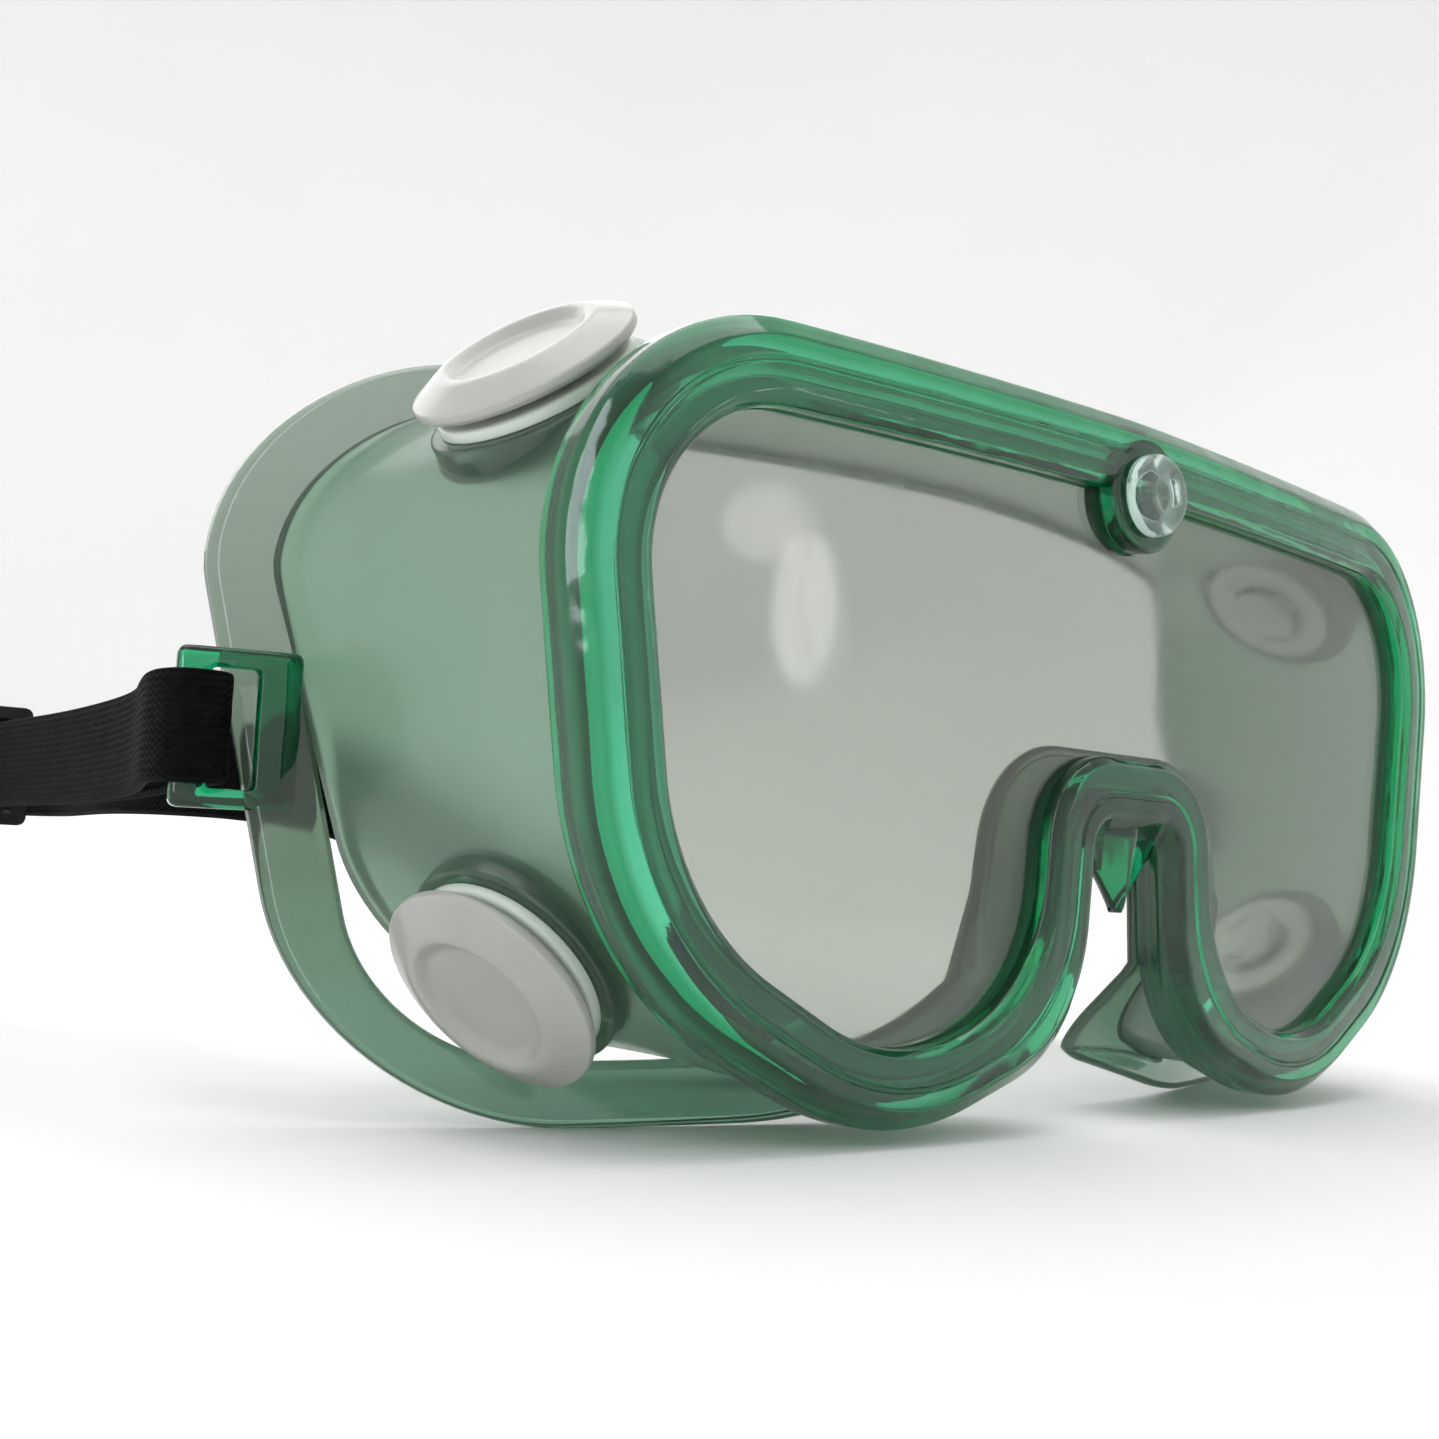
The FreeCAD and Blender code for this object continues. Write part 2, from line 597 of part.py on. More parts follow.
def profile_sketch(body, name, points):
    """Closed profile on the body's XZ plane; each point is a pair of expressions, across and up."""
    sketch = body.newObject("Sketcher::SketchObject", name)
    plane = next(item for item in body.Origin.OriginFeatures if item.Role == "XZ_Plane")
    sketch.AttachmentSupport = [(plane, "")]
    sketch.MapMode = "FlatFace"
    values = [[float(sketch.evalExpression(text)) for text in pair] for pair in points]
    count = len(points)
    for i in range(count):
        start = Vector(*values[i], 0)
        end = Vector(*values[(i + 1) % count], 0)
        sketch.addGeometry(Part.LineSegment(start, end), False)
    for i in range(count):
        sketch.addConstraint(Sketcher.Constraint("Coincident", i, 2, (i + 1) % count, 1))
    for i, (across, up) in enumerate(points):
        for kind, axis, text, value in (("DistanceX", -2, across, values[i][0]), ("DistanceY", -1, up, values[i][1])):
            if text == "0":
                sketch.addConstraint(Sketcher.Constraint("PointOnObject", i, 1, axis))
                continue
            index = sketch.addConstraint(Sketcher.Constraint(kind, -1, 1, i, 1, value))
            sketch.setExpression(f"Constraints[{index}]", text)
    return sketch


def revolved(body, name, points):
    """Profile turned about the body's Z axis."""
    sketch = profile_sketch(body, name + "_profile", points)
    turned = body.newObject("PartDesign::Revolution", name)
    turned.Profile = sketch
    turned.ReferenceAxis = (sketch, ["V_Axis"])
    turned.Angle = 360
    doc.recompute()
    return turned


def new_body(label, origin, outward):
    """Body whose local Z points along outward."""
    body = doc.addObject("PartDesign::Body", label)
    body.Label = label
    body.Placement = Placement(origin, Rotation(Vector(0, 0, 1), outward))
    return body


def vent_base(label, seat, outward):
    """Flanged sleeve through the boss."""
    depth = size("boss_inside") + size("seat_gap") + size("base_inner_thickness")
    body = new_body(label, seat - outward * depth, outward)
    neck_top = "dims.base_length - dims.base_flange_thickness"
    revolved(body, label + "_sleeve", [
        ("dims.vent_bore / 2", "0"),
        ("dims.base_inner_flange / 2 - dims.edge_bevel", "0"),
        ("dims.base_inner_flange / 2", "dims.edge_bevel"),
        ("dims.base_inner_flange / 2", "dims.base_inner_thickness"),
        ("dims.neck_diameter / 2", "dims.base_inner_thickness"),
        ("dims.neck_diameter / 2", neck_top),
        ("dims.base_flange / 2", neck_top),
        ("dims.base_flange / 2", "dims.base_length - dims.edge_bevel"),
        ("dims.base_flange / 2 - dims.edge_bevel", "dims.base_length"),
        ("dims.vent_bore / 2", "dims.base_length"),
    ])
    return body


def vent_cap(label, seat, outward):
    """Dished cap with a sloping edge, on three legs that snap through the sleeve and end in a disc."""
    below = size("leg_length") - size("cap_gap") - size("base_flange_thickness")
    depth = below - size("seat_gap") - size("boss_proud")
    body = new_body(label, seat - outward * depth, outward)
    top = "dims.leg_length + dims.cap_thickness"
    revolved(body, label + "_disc", [
        ("0", "dims.leg_length"),
        ("dims.cap_diameter / 2 - dims.edge_bevel", "dims.leg_length"),
        ("dims.cap_diameter / 2", "dims.leg_length + dims.edge_bevel"),
        ("dims.cap_diameter / 2", "dims.leg_length + dims.cap_edge"),
        ("dims.cap_face / 2", top),
        ("dims.cap_dish_diameter / 2 + dims.cap_dish", top),
        ("dims.cap_dish_diameter / 2", top + " - dims.cap_dish"),
        ("0", top + " - dims.cap_dish"),
    ])
    outside = "sqrt((dims.vent_bore / 2 - dims.leg_gap) ^ 2 - (dims.leg_width / 2) ^ 2)"
    inside = outside + " - dims.leg_thickness"
    sketch = profile_sketch(body, label + "_leg_profile", [
        (inside, "0"),
        (outside, "0"),
        (outside + " + dims.leg_barb", "dims.leg_barb_length"),
        (outside, "dims.leg_barb_length"),
        (outside, "dims.leg_length + dims.cap_thickness / 4"),
        (inside, "dims.leg_length + dims.cap_thickness / 4"),
    ])
    leg = body.newObject("PartDesign::Pad", label + "_leg")
    leg.Profile = sketch
    leg.Midplane = True
    leg.setExpression("Length", "dims.leg_width")
    doc.recompute()
    legs = body.newObject("PartDesign::PolarPattern", label + "_legs")
    legs.Originals = [leg]
    legs.Axis = (sketch, ["V_Axis"])
    legs.Angle = 360
    legs.Occurrences = 3
    body.Tip = legs
    doc.recompute()
    floor_radius = "dims.vent_bore / 2 - 2 * dims.leg_play"
    revolved(body, label + "_floor", [
        ("0", "0"), (floor_radius, "0"), (floor_radius, "dims.leg_floor"), ("0", "dims.leg_floor"),
    ])
    return body


def lens_stud():
    """Dimpled button whose shank pins the lens's top edge in the rim."""
    back = size("rim_back") + size("seat_gap") + size("collar_thickness") + size("stud_end")
    body = new_body("lens_stud", Vector(0, back, size("stud_height")), Vector(0, -1, 0))
    top = "dims.stud_shaft + dims.stud_head_thickness"
    revolved(body, "lens_stud_button", [
        ("0", "0"),
        ("dims.stud_shank / 2 - dims.edge_bevel", "0"),
        ("dims.stud_shank / 2", "dims.edge_bevel"),
        ("dims.stud_shank / 2", "dims.stud_shaft"),
        ("dims.stud_head / 2", "dims.stud_shaft"),
        ("dims.stud_head / 2", top + " - 2 * dims.edge_bevel"),
        ("dims.stud_head / 2 - 2 * dims.edge_bevel", top),
        ("dims.stud_head / 4", top),
        ("dims.stud_head / 8", top + " - dims.stud_dimple"),
        ("0", top + " - dims.stud_dimple"),
    ])
    return body


def stud_collar():
    """Ring pushed over the shank behind the rim."""
    body = new_body(
        "stud_collar", Vector(0, size("rim_back") + size("seat_gap"), size("stud_height")), Vector(0, 1, 0)
    )
    revolved(body, "stud_collar_ring", [
        ("dims.stud_shank / 2 + dims.seat_gap", "0"),
        ("dims.collar_diameter / 2", "0"),
        ("dims.collar_diameter / 2", "dims.collar_thickness - dims.edge_bevel"),
        ("dims.collar_diameter / 2 - dims.edge_bevel", "dims.collar_thickness"),
        ("dims.stud_shank / 2 + dims.seat_gap", "dims.collar_thickness"),
    ])
    return body


def strap_slider():
    """Rectangular keeper round both layers of the strap's left leg."""
    outer = doc.addObject("Part::Box", "slider_outer")
    inner = doc.addObject("Part::Box", "slider_inner")
    for box, extra in ((outer, " + 2 * dims.slider_wall"), (inner, "")):
        box.setExpression("Length", "dims.slider_inner_thickness" + extra)
        box.setExpression("Height", "dims.slider_inner_height" + extra)
        box.setExpression("Placement.Base.x", "-Length / 2")
        box.setExpression("Placement.Base.y", "-Width / 2")
        box.setExpression("Placement.Base.z", "-Height / 2")
    outer.setExpression("Width", "dims.slider_length")
    inner.setExpression("Width", "dims.slider_length * 2")
    piece = doc.addObject("Part::Cut", "strap_slider")
    piece.Base = outer
    piece.Tool = inner
    piece.Label = "strap_slider"
    x, y = leg_point(size("slider_depth"), (size("strap_thickness") + size("strap_gap")) / 2)
    turn = -math.degrees(math.atan2(LEG_HEADING[0], LEG_HEADING[1]))
    place = Vector(x, y, size("strap_height") - size("leg_sink"))
    piece.Placement = Placement(place, Rotation(Vector(0, 0, 1), turn))
    return piece


def lens_shape():
    """Curved pane that fills the groove, with a hole for the stud at its top edge."""
    depth = REACH / 4
    pane = prism(grown(OPENING, size("lens_seat")), -depth, depth).common(front_slab(0, size("lens_thickness")))
    radius = size("stud_shank") / 2 + size("stud_fit")
    middle = Vector(0, -depth, size("stud_height"))
    return pane.cut(Part.makeCylinder(radius, 2 * depth, middle, Vector(0, 1, 0)))


strap, strap_length = strap_shape()
pieces = [add_shape("goggle_frame", frame_shape()), add_shape("lens", lens_shape())]
pieces += [lens_stud(), stud_collar()]
for place, seat, outward in VENTS:
    pieces.append(vent_base("vent_base_" + place, seat, outward))
    pieces.append(vent_cap("vent_cap_" + place, seat, outward))
soft_strap = [add_shape("head_strap", strap), strap_slider()]
doc.recompute()

# the row's origin is under the middle of everything but the strap and its slider
box = FreeCAD.BoundBox()
for piece in pieces:
    box.add(piece.Shape.optimalBoundingBox(True, False))
frame_shift = Vector(0, -(box.YMin + box.YMax) / 2, -box.ZMin)
for piece in pieces + soft_strap:
    piece.Placement = Placement(frame_shift, Rotation()).multiply(piece.Placement)
doc.recompute()

os.makedirs("parts", exist_ok=True)
for piece in pieces + soft_strap:
    shape = piece.Shape
    if "Invalid" in piece.State or "Error" in piece.State or shape.isNull() or not shape.isValid():
        raise RuntimeError(f"{piece.Label} didn't build: {piece.State}")
    if len(shape.Solids) != 1:
        raise RuntimeError(f"{piece.Label} is {len(shape.Solids)} solids")
    shape.exportStep(f"parts/{piece.Label}.step")
    print(piece.Label, round(shape.Volume, 1))
print("shift", frame_shift, "strap length", round(strap_length, 1))
for place, seat, outward in VENTS:
    print(place, seat + frame_shift, outward)
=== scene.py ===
import json
import math

import bmesh
import bpy
import numpy as np
from mathutils import Matrix, Vector


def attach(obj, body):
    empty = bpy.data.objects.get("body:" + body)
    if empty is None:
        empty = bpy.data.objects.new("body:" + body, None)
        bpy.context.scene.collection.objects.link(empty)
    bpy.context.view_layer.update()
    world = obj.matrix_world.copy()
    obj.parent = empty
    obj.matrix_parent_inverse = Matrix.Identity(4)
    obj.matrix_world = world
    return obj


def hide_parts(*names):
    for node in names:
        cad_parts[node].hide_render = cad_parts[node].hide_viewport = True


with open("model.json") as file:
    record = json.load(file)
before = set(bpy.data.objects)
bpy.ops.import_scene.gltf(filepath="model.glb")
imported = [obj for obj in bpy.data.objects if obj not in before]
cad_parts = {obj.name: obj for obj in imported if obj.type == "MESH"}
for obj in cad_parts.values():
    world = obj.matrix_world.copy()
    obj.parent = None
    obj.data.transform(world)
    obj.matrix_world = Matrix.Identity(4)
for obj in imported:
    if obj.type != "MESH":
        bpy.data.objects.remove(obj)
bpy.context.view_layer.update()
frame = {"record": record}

MM = 0.001

# Lengths are in millimetres of the drawing, whose origin is at the front of the lens, under the middle.
# The shift takes them to the row's frame.
SHIFT_Y = -25.2688
SHIFT_Z = -0.5884

LIP_WIDTH = 9.0  # of the rim, from the opening to its outer edge
RIM_FRONT, RIM_BACK = -2.6, 2.9  # depths of the rim's two faces, behind the front of the lens
LENS_THICKNESS = 1.5
LENS_INSET = 3.0  # how far the lens reaches into the rim's groove
STUD_SEAT = Vector((0, SHIFT_Y, 72.6 + SHIFT_Z)) * MM  # in the row's metres

# heights along a vent's axis, outwards from the seat that its joint gives
BOSS_TOP = 0.4
SLEEVE_TOP = 1.75  # outer face of the sleeve's flange, which rests 0.05 off the boss
CAP_UNDER = SLEEVE_TOP + 1.0  # underside of the cap's disc, above the air gap
SLEEVE_END = -5.15  # inner end of the sleeve
BARB_HEIGHT = 1.3
LEG_END = SLEEVE_END - 0.15 - BARB_HEIGHT


# ---------------------------------------------------------------- camera


def make_camera():
    """Low camera in front of the goggles and to their left, looking a little up."""
    yaw, pitch, roll = (math.radians(angle) for angle in (42.3, 5.0, 2.6))
    ahead = Vector((
        math.sin(yaw) * math.cos(pitch), math.cos(yaw) * math.cos(pitch), math.sin(pitch),
    ))
    right = Vector((math.cos(yaw), -math.sin(yaw), 0))
    up = right.cross(ahead)
    turned = right * math.cos(roll) + up * math.sin(roll)
    top = up * math.cos(roll) - right * math.sin(roll)
    data = bpy.data.cameras.new("camera")
    data.sensor_width = 36
    data.lens = 45.0313
    data.clip_start = 0.005
    camera = bpy.data.objects.new("camera", data)
    bpy.context.collection.objects.link(camera)
    axes = Matrix((turned, top, -ahead)).transposed().to_4x4()
    place = Vector((-173.6, -121.3 + SHIFT_Y, 26.6 + SHIFT_Z)) * MM
    camera.matrix_world = Matrix.Translation(place) @ axes
    bpy.context.scene.camera = camera


make_camera()


# ---------------------------------------------------------------- shader helpers


class Nodes:
    """Small wrapper that adds and joins the nodes of one material."""

    def __init__(self, name):
        self.material = bpy.data.materials.new(name)
        self.material.use_nodes = True
        self.tree = self.material.node_tree
        self.tree.nodes.clear()
        self.out = self.tree.nodes.new("ShaderNodeOutputMaterial")

    def add(self, kind, inputs=(), **settings):
        node = self.tree.nodes.new("ShaderNode" + kind)
        for key, value in settings.items():
            setattr(node, key, value)
        for key, value in dict(inputs).items():
            socket = node.inputs[key]
            if isinstance(value, bpy.types.NodeSocket):
                self.tree.links.new(value, socket)
            else:
                socket.default_value = value
        return node

    def surface(self, shader):
        self.tree.links.new(shader.outputs[0], self.out.inputs["Surface"])
        return self.material

    def coordinate(self, kind="Object", scale=(1, 1, 1)):
        source = self.add("TexCoord").outputs[kind]
        return self.add("Mapping", {"Vector": source, "Scale": scale}).outputs[0]

    def noise(self, scale, detail=3.0, rough=0.55, stretch=(1, 1, 1)):
        place = self.coordinate("Object", stretch)
        return self.add("TexNoise", {"Vector": place, "Scale": scale, "Detail": detail, "Roughness": rough})

    def ramp(self, value, stops):
        node = self.add("ValToRGB", {"Fac": value})
        first, second = node.color_ramp.elements
        for element, (where, colour) in zip((first, second), (stops[0], stops[-1])):
            element.position = where
            element.color = colour
        for where, colour in stops[1:-1]:
            node.color_ramp.elements.new(where).color = colour
        return node.outputs[0]

    def span(self, value, low, high):
        node = self.add("MapRange", {"Value": value, "To Min": low, "To Max": high})
        return node.outputs[0]

    def bump(self, height, strength, distance, normal=None):
        inputs = {"Height": height, "Strength": strength, "Distance": distance}
        if normal is not None:
            inputs["Normal"] = normal
        return self.add("Bump", inputs).outputs[0]


def grey(value):
    return (value, value, value, 1)


def rim_material():
    """Thick clear green vinyl: the colour deepens with the thickness; the dark and pale bands across the
    section are painted shade and painted highlights along the moulded corners.
    """
    n = Nodes("clear_green_vinyl_painted_shade_and_highlights")
    parts = n.add("SeparateXYZ", {"Vector": n.add("TexCoord").outputs["UV"]})
    drift = n.span(n.noise(30, 3).outputs["Fac"], -0.06, 0.06)
    place = n.add("Math", {0: parts.outputs[0], 1: drift}, operation="ADD").outputs[0]
    # painted shade and painted highlights: dark and pale bands across the rim's section, in place of dark and
    # bright surroundings refracted in its corners
    corners = n.ramp(place, [
        (0.0, (0.01, 0.38, 0.18, 1)), (0.14, (0.28, 0.66, 0.49, 1)),
        (0.40, (0.36, 0.70, 0.55, 1)), (0.49, (0.06, 0.46, 0.27, 1)),
        (0.56, (0.36, 0.70, 0.55, 1)), (0.70, (0.22, 0.62, 0.44, 1)),
        (0.78, (0.0, 0.33, 0.14, 1)), (0.93, (0.04, 0.45, 0.25, 1)),
        (1.0, (0.42, 0.74, 0.61, 1)),
    ])
    waves = n.noise(85, 2, 0.4).outputs["Fac"]
    fine = n.noise(900, 2).outputs["Fac"]
    normal = n.bump(fine, 0.05, 0.0002, n.bump(waves, 0.4, 0.0014))
    rough = n.span(n.noise(60, 3).outputs["Fac"], 0.02, 0.09)
    shader = n.add("BsdfPrincipled", {
        "Base Color": corners, "Roughness": rough, "Normal": normal, "IOR": 1.5,
        "Transmission Weight": 0.97, "Coat Weight": 0.15, "Coat Roughness": 0.03,
    })
    depth = n.add("VolumeAbsorption", {"Color": (0.0, 0.80, 0.58, 1), "Density": 300.0})
    n.tree.links.new(depth.outputs[0], n.out.inputs["Volume"])
    return n.surface(shader)


def skirt_material():
    """Milky green vinyl wall that glows with the light behind it, with painted light making it paler on its
    crown and at the nose.
    """
    n = Nodes("milky_green_vinyl_with_painted_light")
    cloud = n.noise(16, 4, 0.5).outputs["Fac"]
    side = n.ramp(cloud, [(0.3, (0.27, 0.43, 0.31, 1)), (0.7, (0.38, 0.54, 0.42, 1))])
    place = n.add("SeparateXYZ", {"Vector": n.add("TexCoord").outputs["Object"]})
    # painted light: mask of the wall's crown and of its part at the nose, which get the paler colour
    painted_light_mask = n.add("MapRange", {
        "Value": place.outputs[2], "From Min": 0.068, "From Max": 0.078,
    }).outputs[0]
    beside = n.add("Math", {0: place.outputs[0]}, operation="ABSOLUTE").outputs[0]
    nose = n.add("MapRange", {
        "Value": beside, "From Min": 0.030, "From Max": 0.042, "To Min": 1, "To Max": 0,
    }).outputs[0]
    painted_light_mask = n.add("Math", {0: painted_light_mask, 1: nose}, operation="MAXIMUM").outputs[0]
    # painted light: the paler colour of the crown and the nose
    crown = n.ramp(cloud, [(0.3, (0.70, 0.81, 0.72, 1)), (0.7, (0.80, 0.88, 0.81, 1))])
    blend = n.add("Mix", {"Factor": painted_light_mask}, data_type="RGBA")
    side_colour, painted_light_colour, mixed_colour = blend.inputs[6], blend.inputs[7], blend.outputs[2]
    n.tree.links.new(side, side_colour)
    n.tree.links.new(crown, painted_light_colour)
    waves = n.noise(45, 2, 0.4).outputs["Fac"]
    grain = n.noise(1500, 2).outputs["Fac"]
    normal = n.bump(grain, 0.06, 0.0002, n.bump(waves, 0.2, 0.002))
    body = n.add("BsdfPrincipled", {
        "Base Color": mixed_colour, "Roughness": 0.3, "Normal": normal, "IOR": 1.4,
        "Transmission Weight": 0.85, "Coat Weight": 0.35, "Coat Roughness": 0.12,
    })
    glow = n.add("BsdfTranslucent", {"Color": (0.40, 0.56, 0.45, 1), "Normal": normal})
    mix = n.add("MixShader", {0: 0.16, 1: body.outputs[0], 2: glow.outputs[0]})
    return n.surface(mix)


def flange_material():
    """Thin vinyl of the face flange: clear grey above, darker and greener low down, painted shade."""
    n = Nodes("thin_clear_vinyl_with_painted_shade")
    height = n.add("SeparateXYZ", {"Vector": n.add("TexCoord").outputs["Object"]}).outputs[2]
    level = n.add("MapRange", {
        "Value": height, "From Max": 0.08, "To Min": 0.0, "To Max": 1.0,
    }).outputs[0]
    drift = n.span(n.noise(28, 3).outputs["Fac"], -0.12, 0.12)
    place = n.add("Math", {0: level, 1: drift}, operation="ADD").outputs[0]
    # painted shade: the tint grows darker and greener towards the bottom
    tint = n.ramp(place, [
        (0.0, (0.16, 0.32, 0.22, 1)), (0.32, (0.11, 0.19, 0.12, 1)),
        (0.6, (0.27, 0.34, 0.27, 1)), (1.0, (0.35, 0.42, 0.36, 1)),
    ])
    normal = n.bump(n.noise(70, 2, 0.4).outputs["Fac"], 0.15, 0.0015)
    body = n.add("BsdfPrincipled", {
        "Base Color": tint, "Roughness": 0.12, "Normal": normal, "IOR": 1.45,
        "Transmission Weight": 0.93, "Coat Weight": 0.3, "Coat Roughness": 0.06,
    })
    glow = n.add("BsdfTranslucent", {"Color": (0.4, 0.5, 0.44, 1)})
    mix = n.add("MixShader", {0: 0.1, 1: body.outputs[0], 2: glow.outputs[0]})
    return n.surface(mix)


def lens_material():
    """Polished pane with light wear, whose grey-green tint is painted shade that darkens everything seen
    through it.
    """
    n = Nodes("lens_pane_with_painted_shade")
    # painted shade: the grey-green tint darkens what is seen through the pane to the grey of the shaded
    # inside
    tint = n.ramp(n.noise(12, 2).outputs["Fac"], [
        (0.3, (0.385, 0.41, 0.365, 1)), (0.7, (0.42, 0.445, 0.40, 1)),
    ])
    scuff = n.noise(240, 5, 0.7, (1, 1, 0.25)).outputs["Fac"]
    rough = n.ramp(scuff, [(0.45, grey(0.05)), (0.8, grey(0.13))])
    normal = n.bump(n.noise(30, 2, 0.4).outputs["Fac"], 0.06, 0.0008)
    shader = n.add("BsdfPrincipled", {
        "Base Color": tint, "Roughness": rough, "Normal": normal, "IOR": 1.5,
        "Transmission Weight": 0.97,
    })
    return n.surface(shader)


def vent_material(name, low, high):
    """Satin moulded plastic, a little translucent, with fine grain and handling marks."""
    n = Nodes(name)
    tint = n.ramp(n.noise(55, 4).outputs["Fac"], [(0.3, low), (0.7, high)])
    rough = n.span(n.noise(300, 4, 0.65).outputs["Fac"], 0.26, 0.48)
    grain = n.noise(2400, 2).outputs["Fac"]
    normal = n.bump(grain, 0.12, 0.00015, n.bump(n.noise(120, 2).outputs["Fac"], 0.08, 0.0008))
    shader = n.add("BsdfPrincipled", {
        "Base Color": tint, "Roughness": rough, "Normal": normal, "IOR": 1.46,
        "Subsurface Weight": 0.25, "Subsurface Radius": (0.003, 0.0028, 0.0025),
        "Subsurface Scale": 1.0, "Coat Weight": 0.4, "Coat Roughness": 0.12,
    })
    return n.surface(shader)


def stud_material():
    """Clear pale green plastic, polished."""
    n = Nodes("clear_pale_plastic")
    tint = n.ramp(n.noise(120, 2).outputs["Fac"], [
        (0.3, (0.66, 0.88, 0.8, 1)), (0.7, (0.78, 0.93, 0.87, 1)),
    ])
    normal = n.bump(n.noise(350, 2).outputs["Fac"], 0.12, 0.0004)
    shader = n.add("BsdfPrincipled", {
        "Base Color": tint, "Roughness": 0.06, "Normal": normal, "IOR": 1.49,
        "Transmission Weight": 0.9,
    })
    return n.surface(shader)


def elastic_material():
    """Black woven elastic: ribs along the band, crossed by fine picks, with a little sheen."""
    n = Nodes("black_elastic")
    place = n.add("SeparateXYZ", {"Vector": n.add("TexCoord").outputs["UV"]})
    across, along = place.outputs[0], place.outputs[1]

    def wave(value, count):
        phase = n.add("Math", {0: value, 1: count * 2 * math.pi}, operation="MULTIPLY").outputs[0]
        return n.add("Math", {0: phase}, operation="SINE").outputs[0]

    ribs = wave(across, 15)
    picks = wave(along, 900)
    weave = n.add("Math", {0: ribs, 1: picks}, operation="MULTIPLY").outputs[0]
    height = n.add("Math", {0: weave, 1: 0.4, 2: ribs}, operation="MULTIPLY_ADD").outputs[0]
    level = n.span(n.noise(380, 3).outputs["Fac"], 0.0, 1.0)
    tint = n.ramp(level, [(0.3, (0.002, 0.002, 0.0022, 1)), (0.75, (0.007, 0.007, 0.0075, 1))])
    fuzz = n.noise(2600, 3).outputs["Fac"]
    normal = n.bump(fuzz, 0.35, 0.0002, n.bump(height, 0.7, 0.00025))
    shader = n.add("BsdfPrincipled", {
        "Base Color": tint, "Roughness": 0.85, "Normal": normal, "IOR": 1.2,
        "Specular IOR Level": 0.3, "Sheen Weight": 0.01, "Sheen Roughness": 0.5,
    })
    return n.surface(shader)


def slider_material():
    """Black moulded plastic, a little uneven in colour and polish."""
    n = Nodes("black_moulded_plastic")
    tint = n.ramp(n.noise(200, 4).outputs["Fac"], [
        (0.35, (0.004, 0.004, 0.0045, 1)), (0.8, (0.014, 0.014, 0.015, 1)),
    ])
    rough = n.span(n.noise(500, 4).outputs["Fac"], 0.25, 0.5)
    normal = n.bump(n.noise(1800, 2).outputs["Fac"], 0.15, 0.0002)
    shader = n.add("BsdfPrincipled", {"Base Color": tint, "Roughness": rough, "Normal": normal})
    return n.surface(shader)


# ---------------------------------------------------------------- outlines


def symmetric(crown, half):
    """Crown corner, one half's corners and their mirror images."""
    return [crown] + half + [(-x, z, radius) for x, z, radius in reversed(half)]


# corners (x, z, radius) in millimetres, clockwise from the crown, seen from the front
OPENING = symmetric((0, 72.8, 400), [
    (72.7, 71.7, 16), (65.6, 22.9, 26), (37.9, 8.0, 22.8), (16.7, 16.4, 19.2),
    (14.5, 42.2, 10.7),
])
FLANGE = symmetric((0, 82.0, 400), [
    (90.2, 80.9, 24), (82, 0.2, 28), (35, 1.0, 60), (7.8, 7.2, 8), (6.2, 33, 2),
])
NOSE_CORNERS = [(25.5, 11, 8), (20.6, 43, 13)]  # of the face opening's arch
FLANGE_WIDTH = 6.4
LOBE_REACH = 21.2  # from the arch to the outer corner of the face opening's lobe
LOBE_TUCK = 1.5  # how much narrower the rim is under its two lobes


def grown(corners, amount):
    """The outline moved outwards; a hollow corner's radius shrinks."""
    moved = []
    count = len(corners)
    for i, (x, z, radius) in enumerate(corners):
        before, after = corners[i - 1], corners[(i + 1) % count]
        into = Vector((x - before[0], z - before[1])).normalized()
        out = Vector((after[0] - x, after[1] - z)).normalized()
        shift = Vector((-into.y - out.y, into.x + out.x)) * (amount / (1 + into.dot(out)))
        convex = into.x * out.y - into.y * out.x < 0
        moved.append((x + shift.x, z + shift.y, radius + amount if convex else radius - amount))
    return moved


def rim_outline(amount):
    """Outline round the opening, a little nearer to it under the two lobes."""
    corners = grown(OPENING, amount)
    for i in (3, len(corners) - 3):
        x, z, radius = corners[i]
        corners[i] = (x, z + LOBE_TUCK * amount / LIP_WIDTH, radius)
    return corners


def face_opening():
    """Inner edge of the flange, with a wide arch that leaves the nose pads."""
    inside = grown(FLANGE, -FLANGE_WIDTH)
    arch_x, _, radius = NOSE_CORNERS[0]
    lobe = (arch_x + LOBE_REACH, inside[3][1], radius)
    return symmetric(inside[0], inside[1:3] + [lobe] + NOSE_CORNERS)


ARC_STEPS = 22
RUN_STEPS = 16


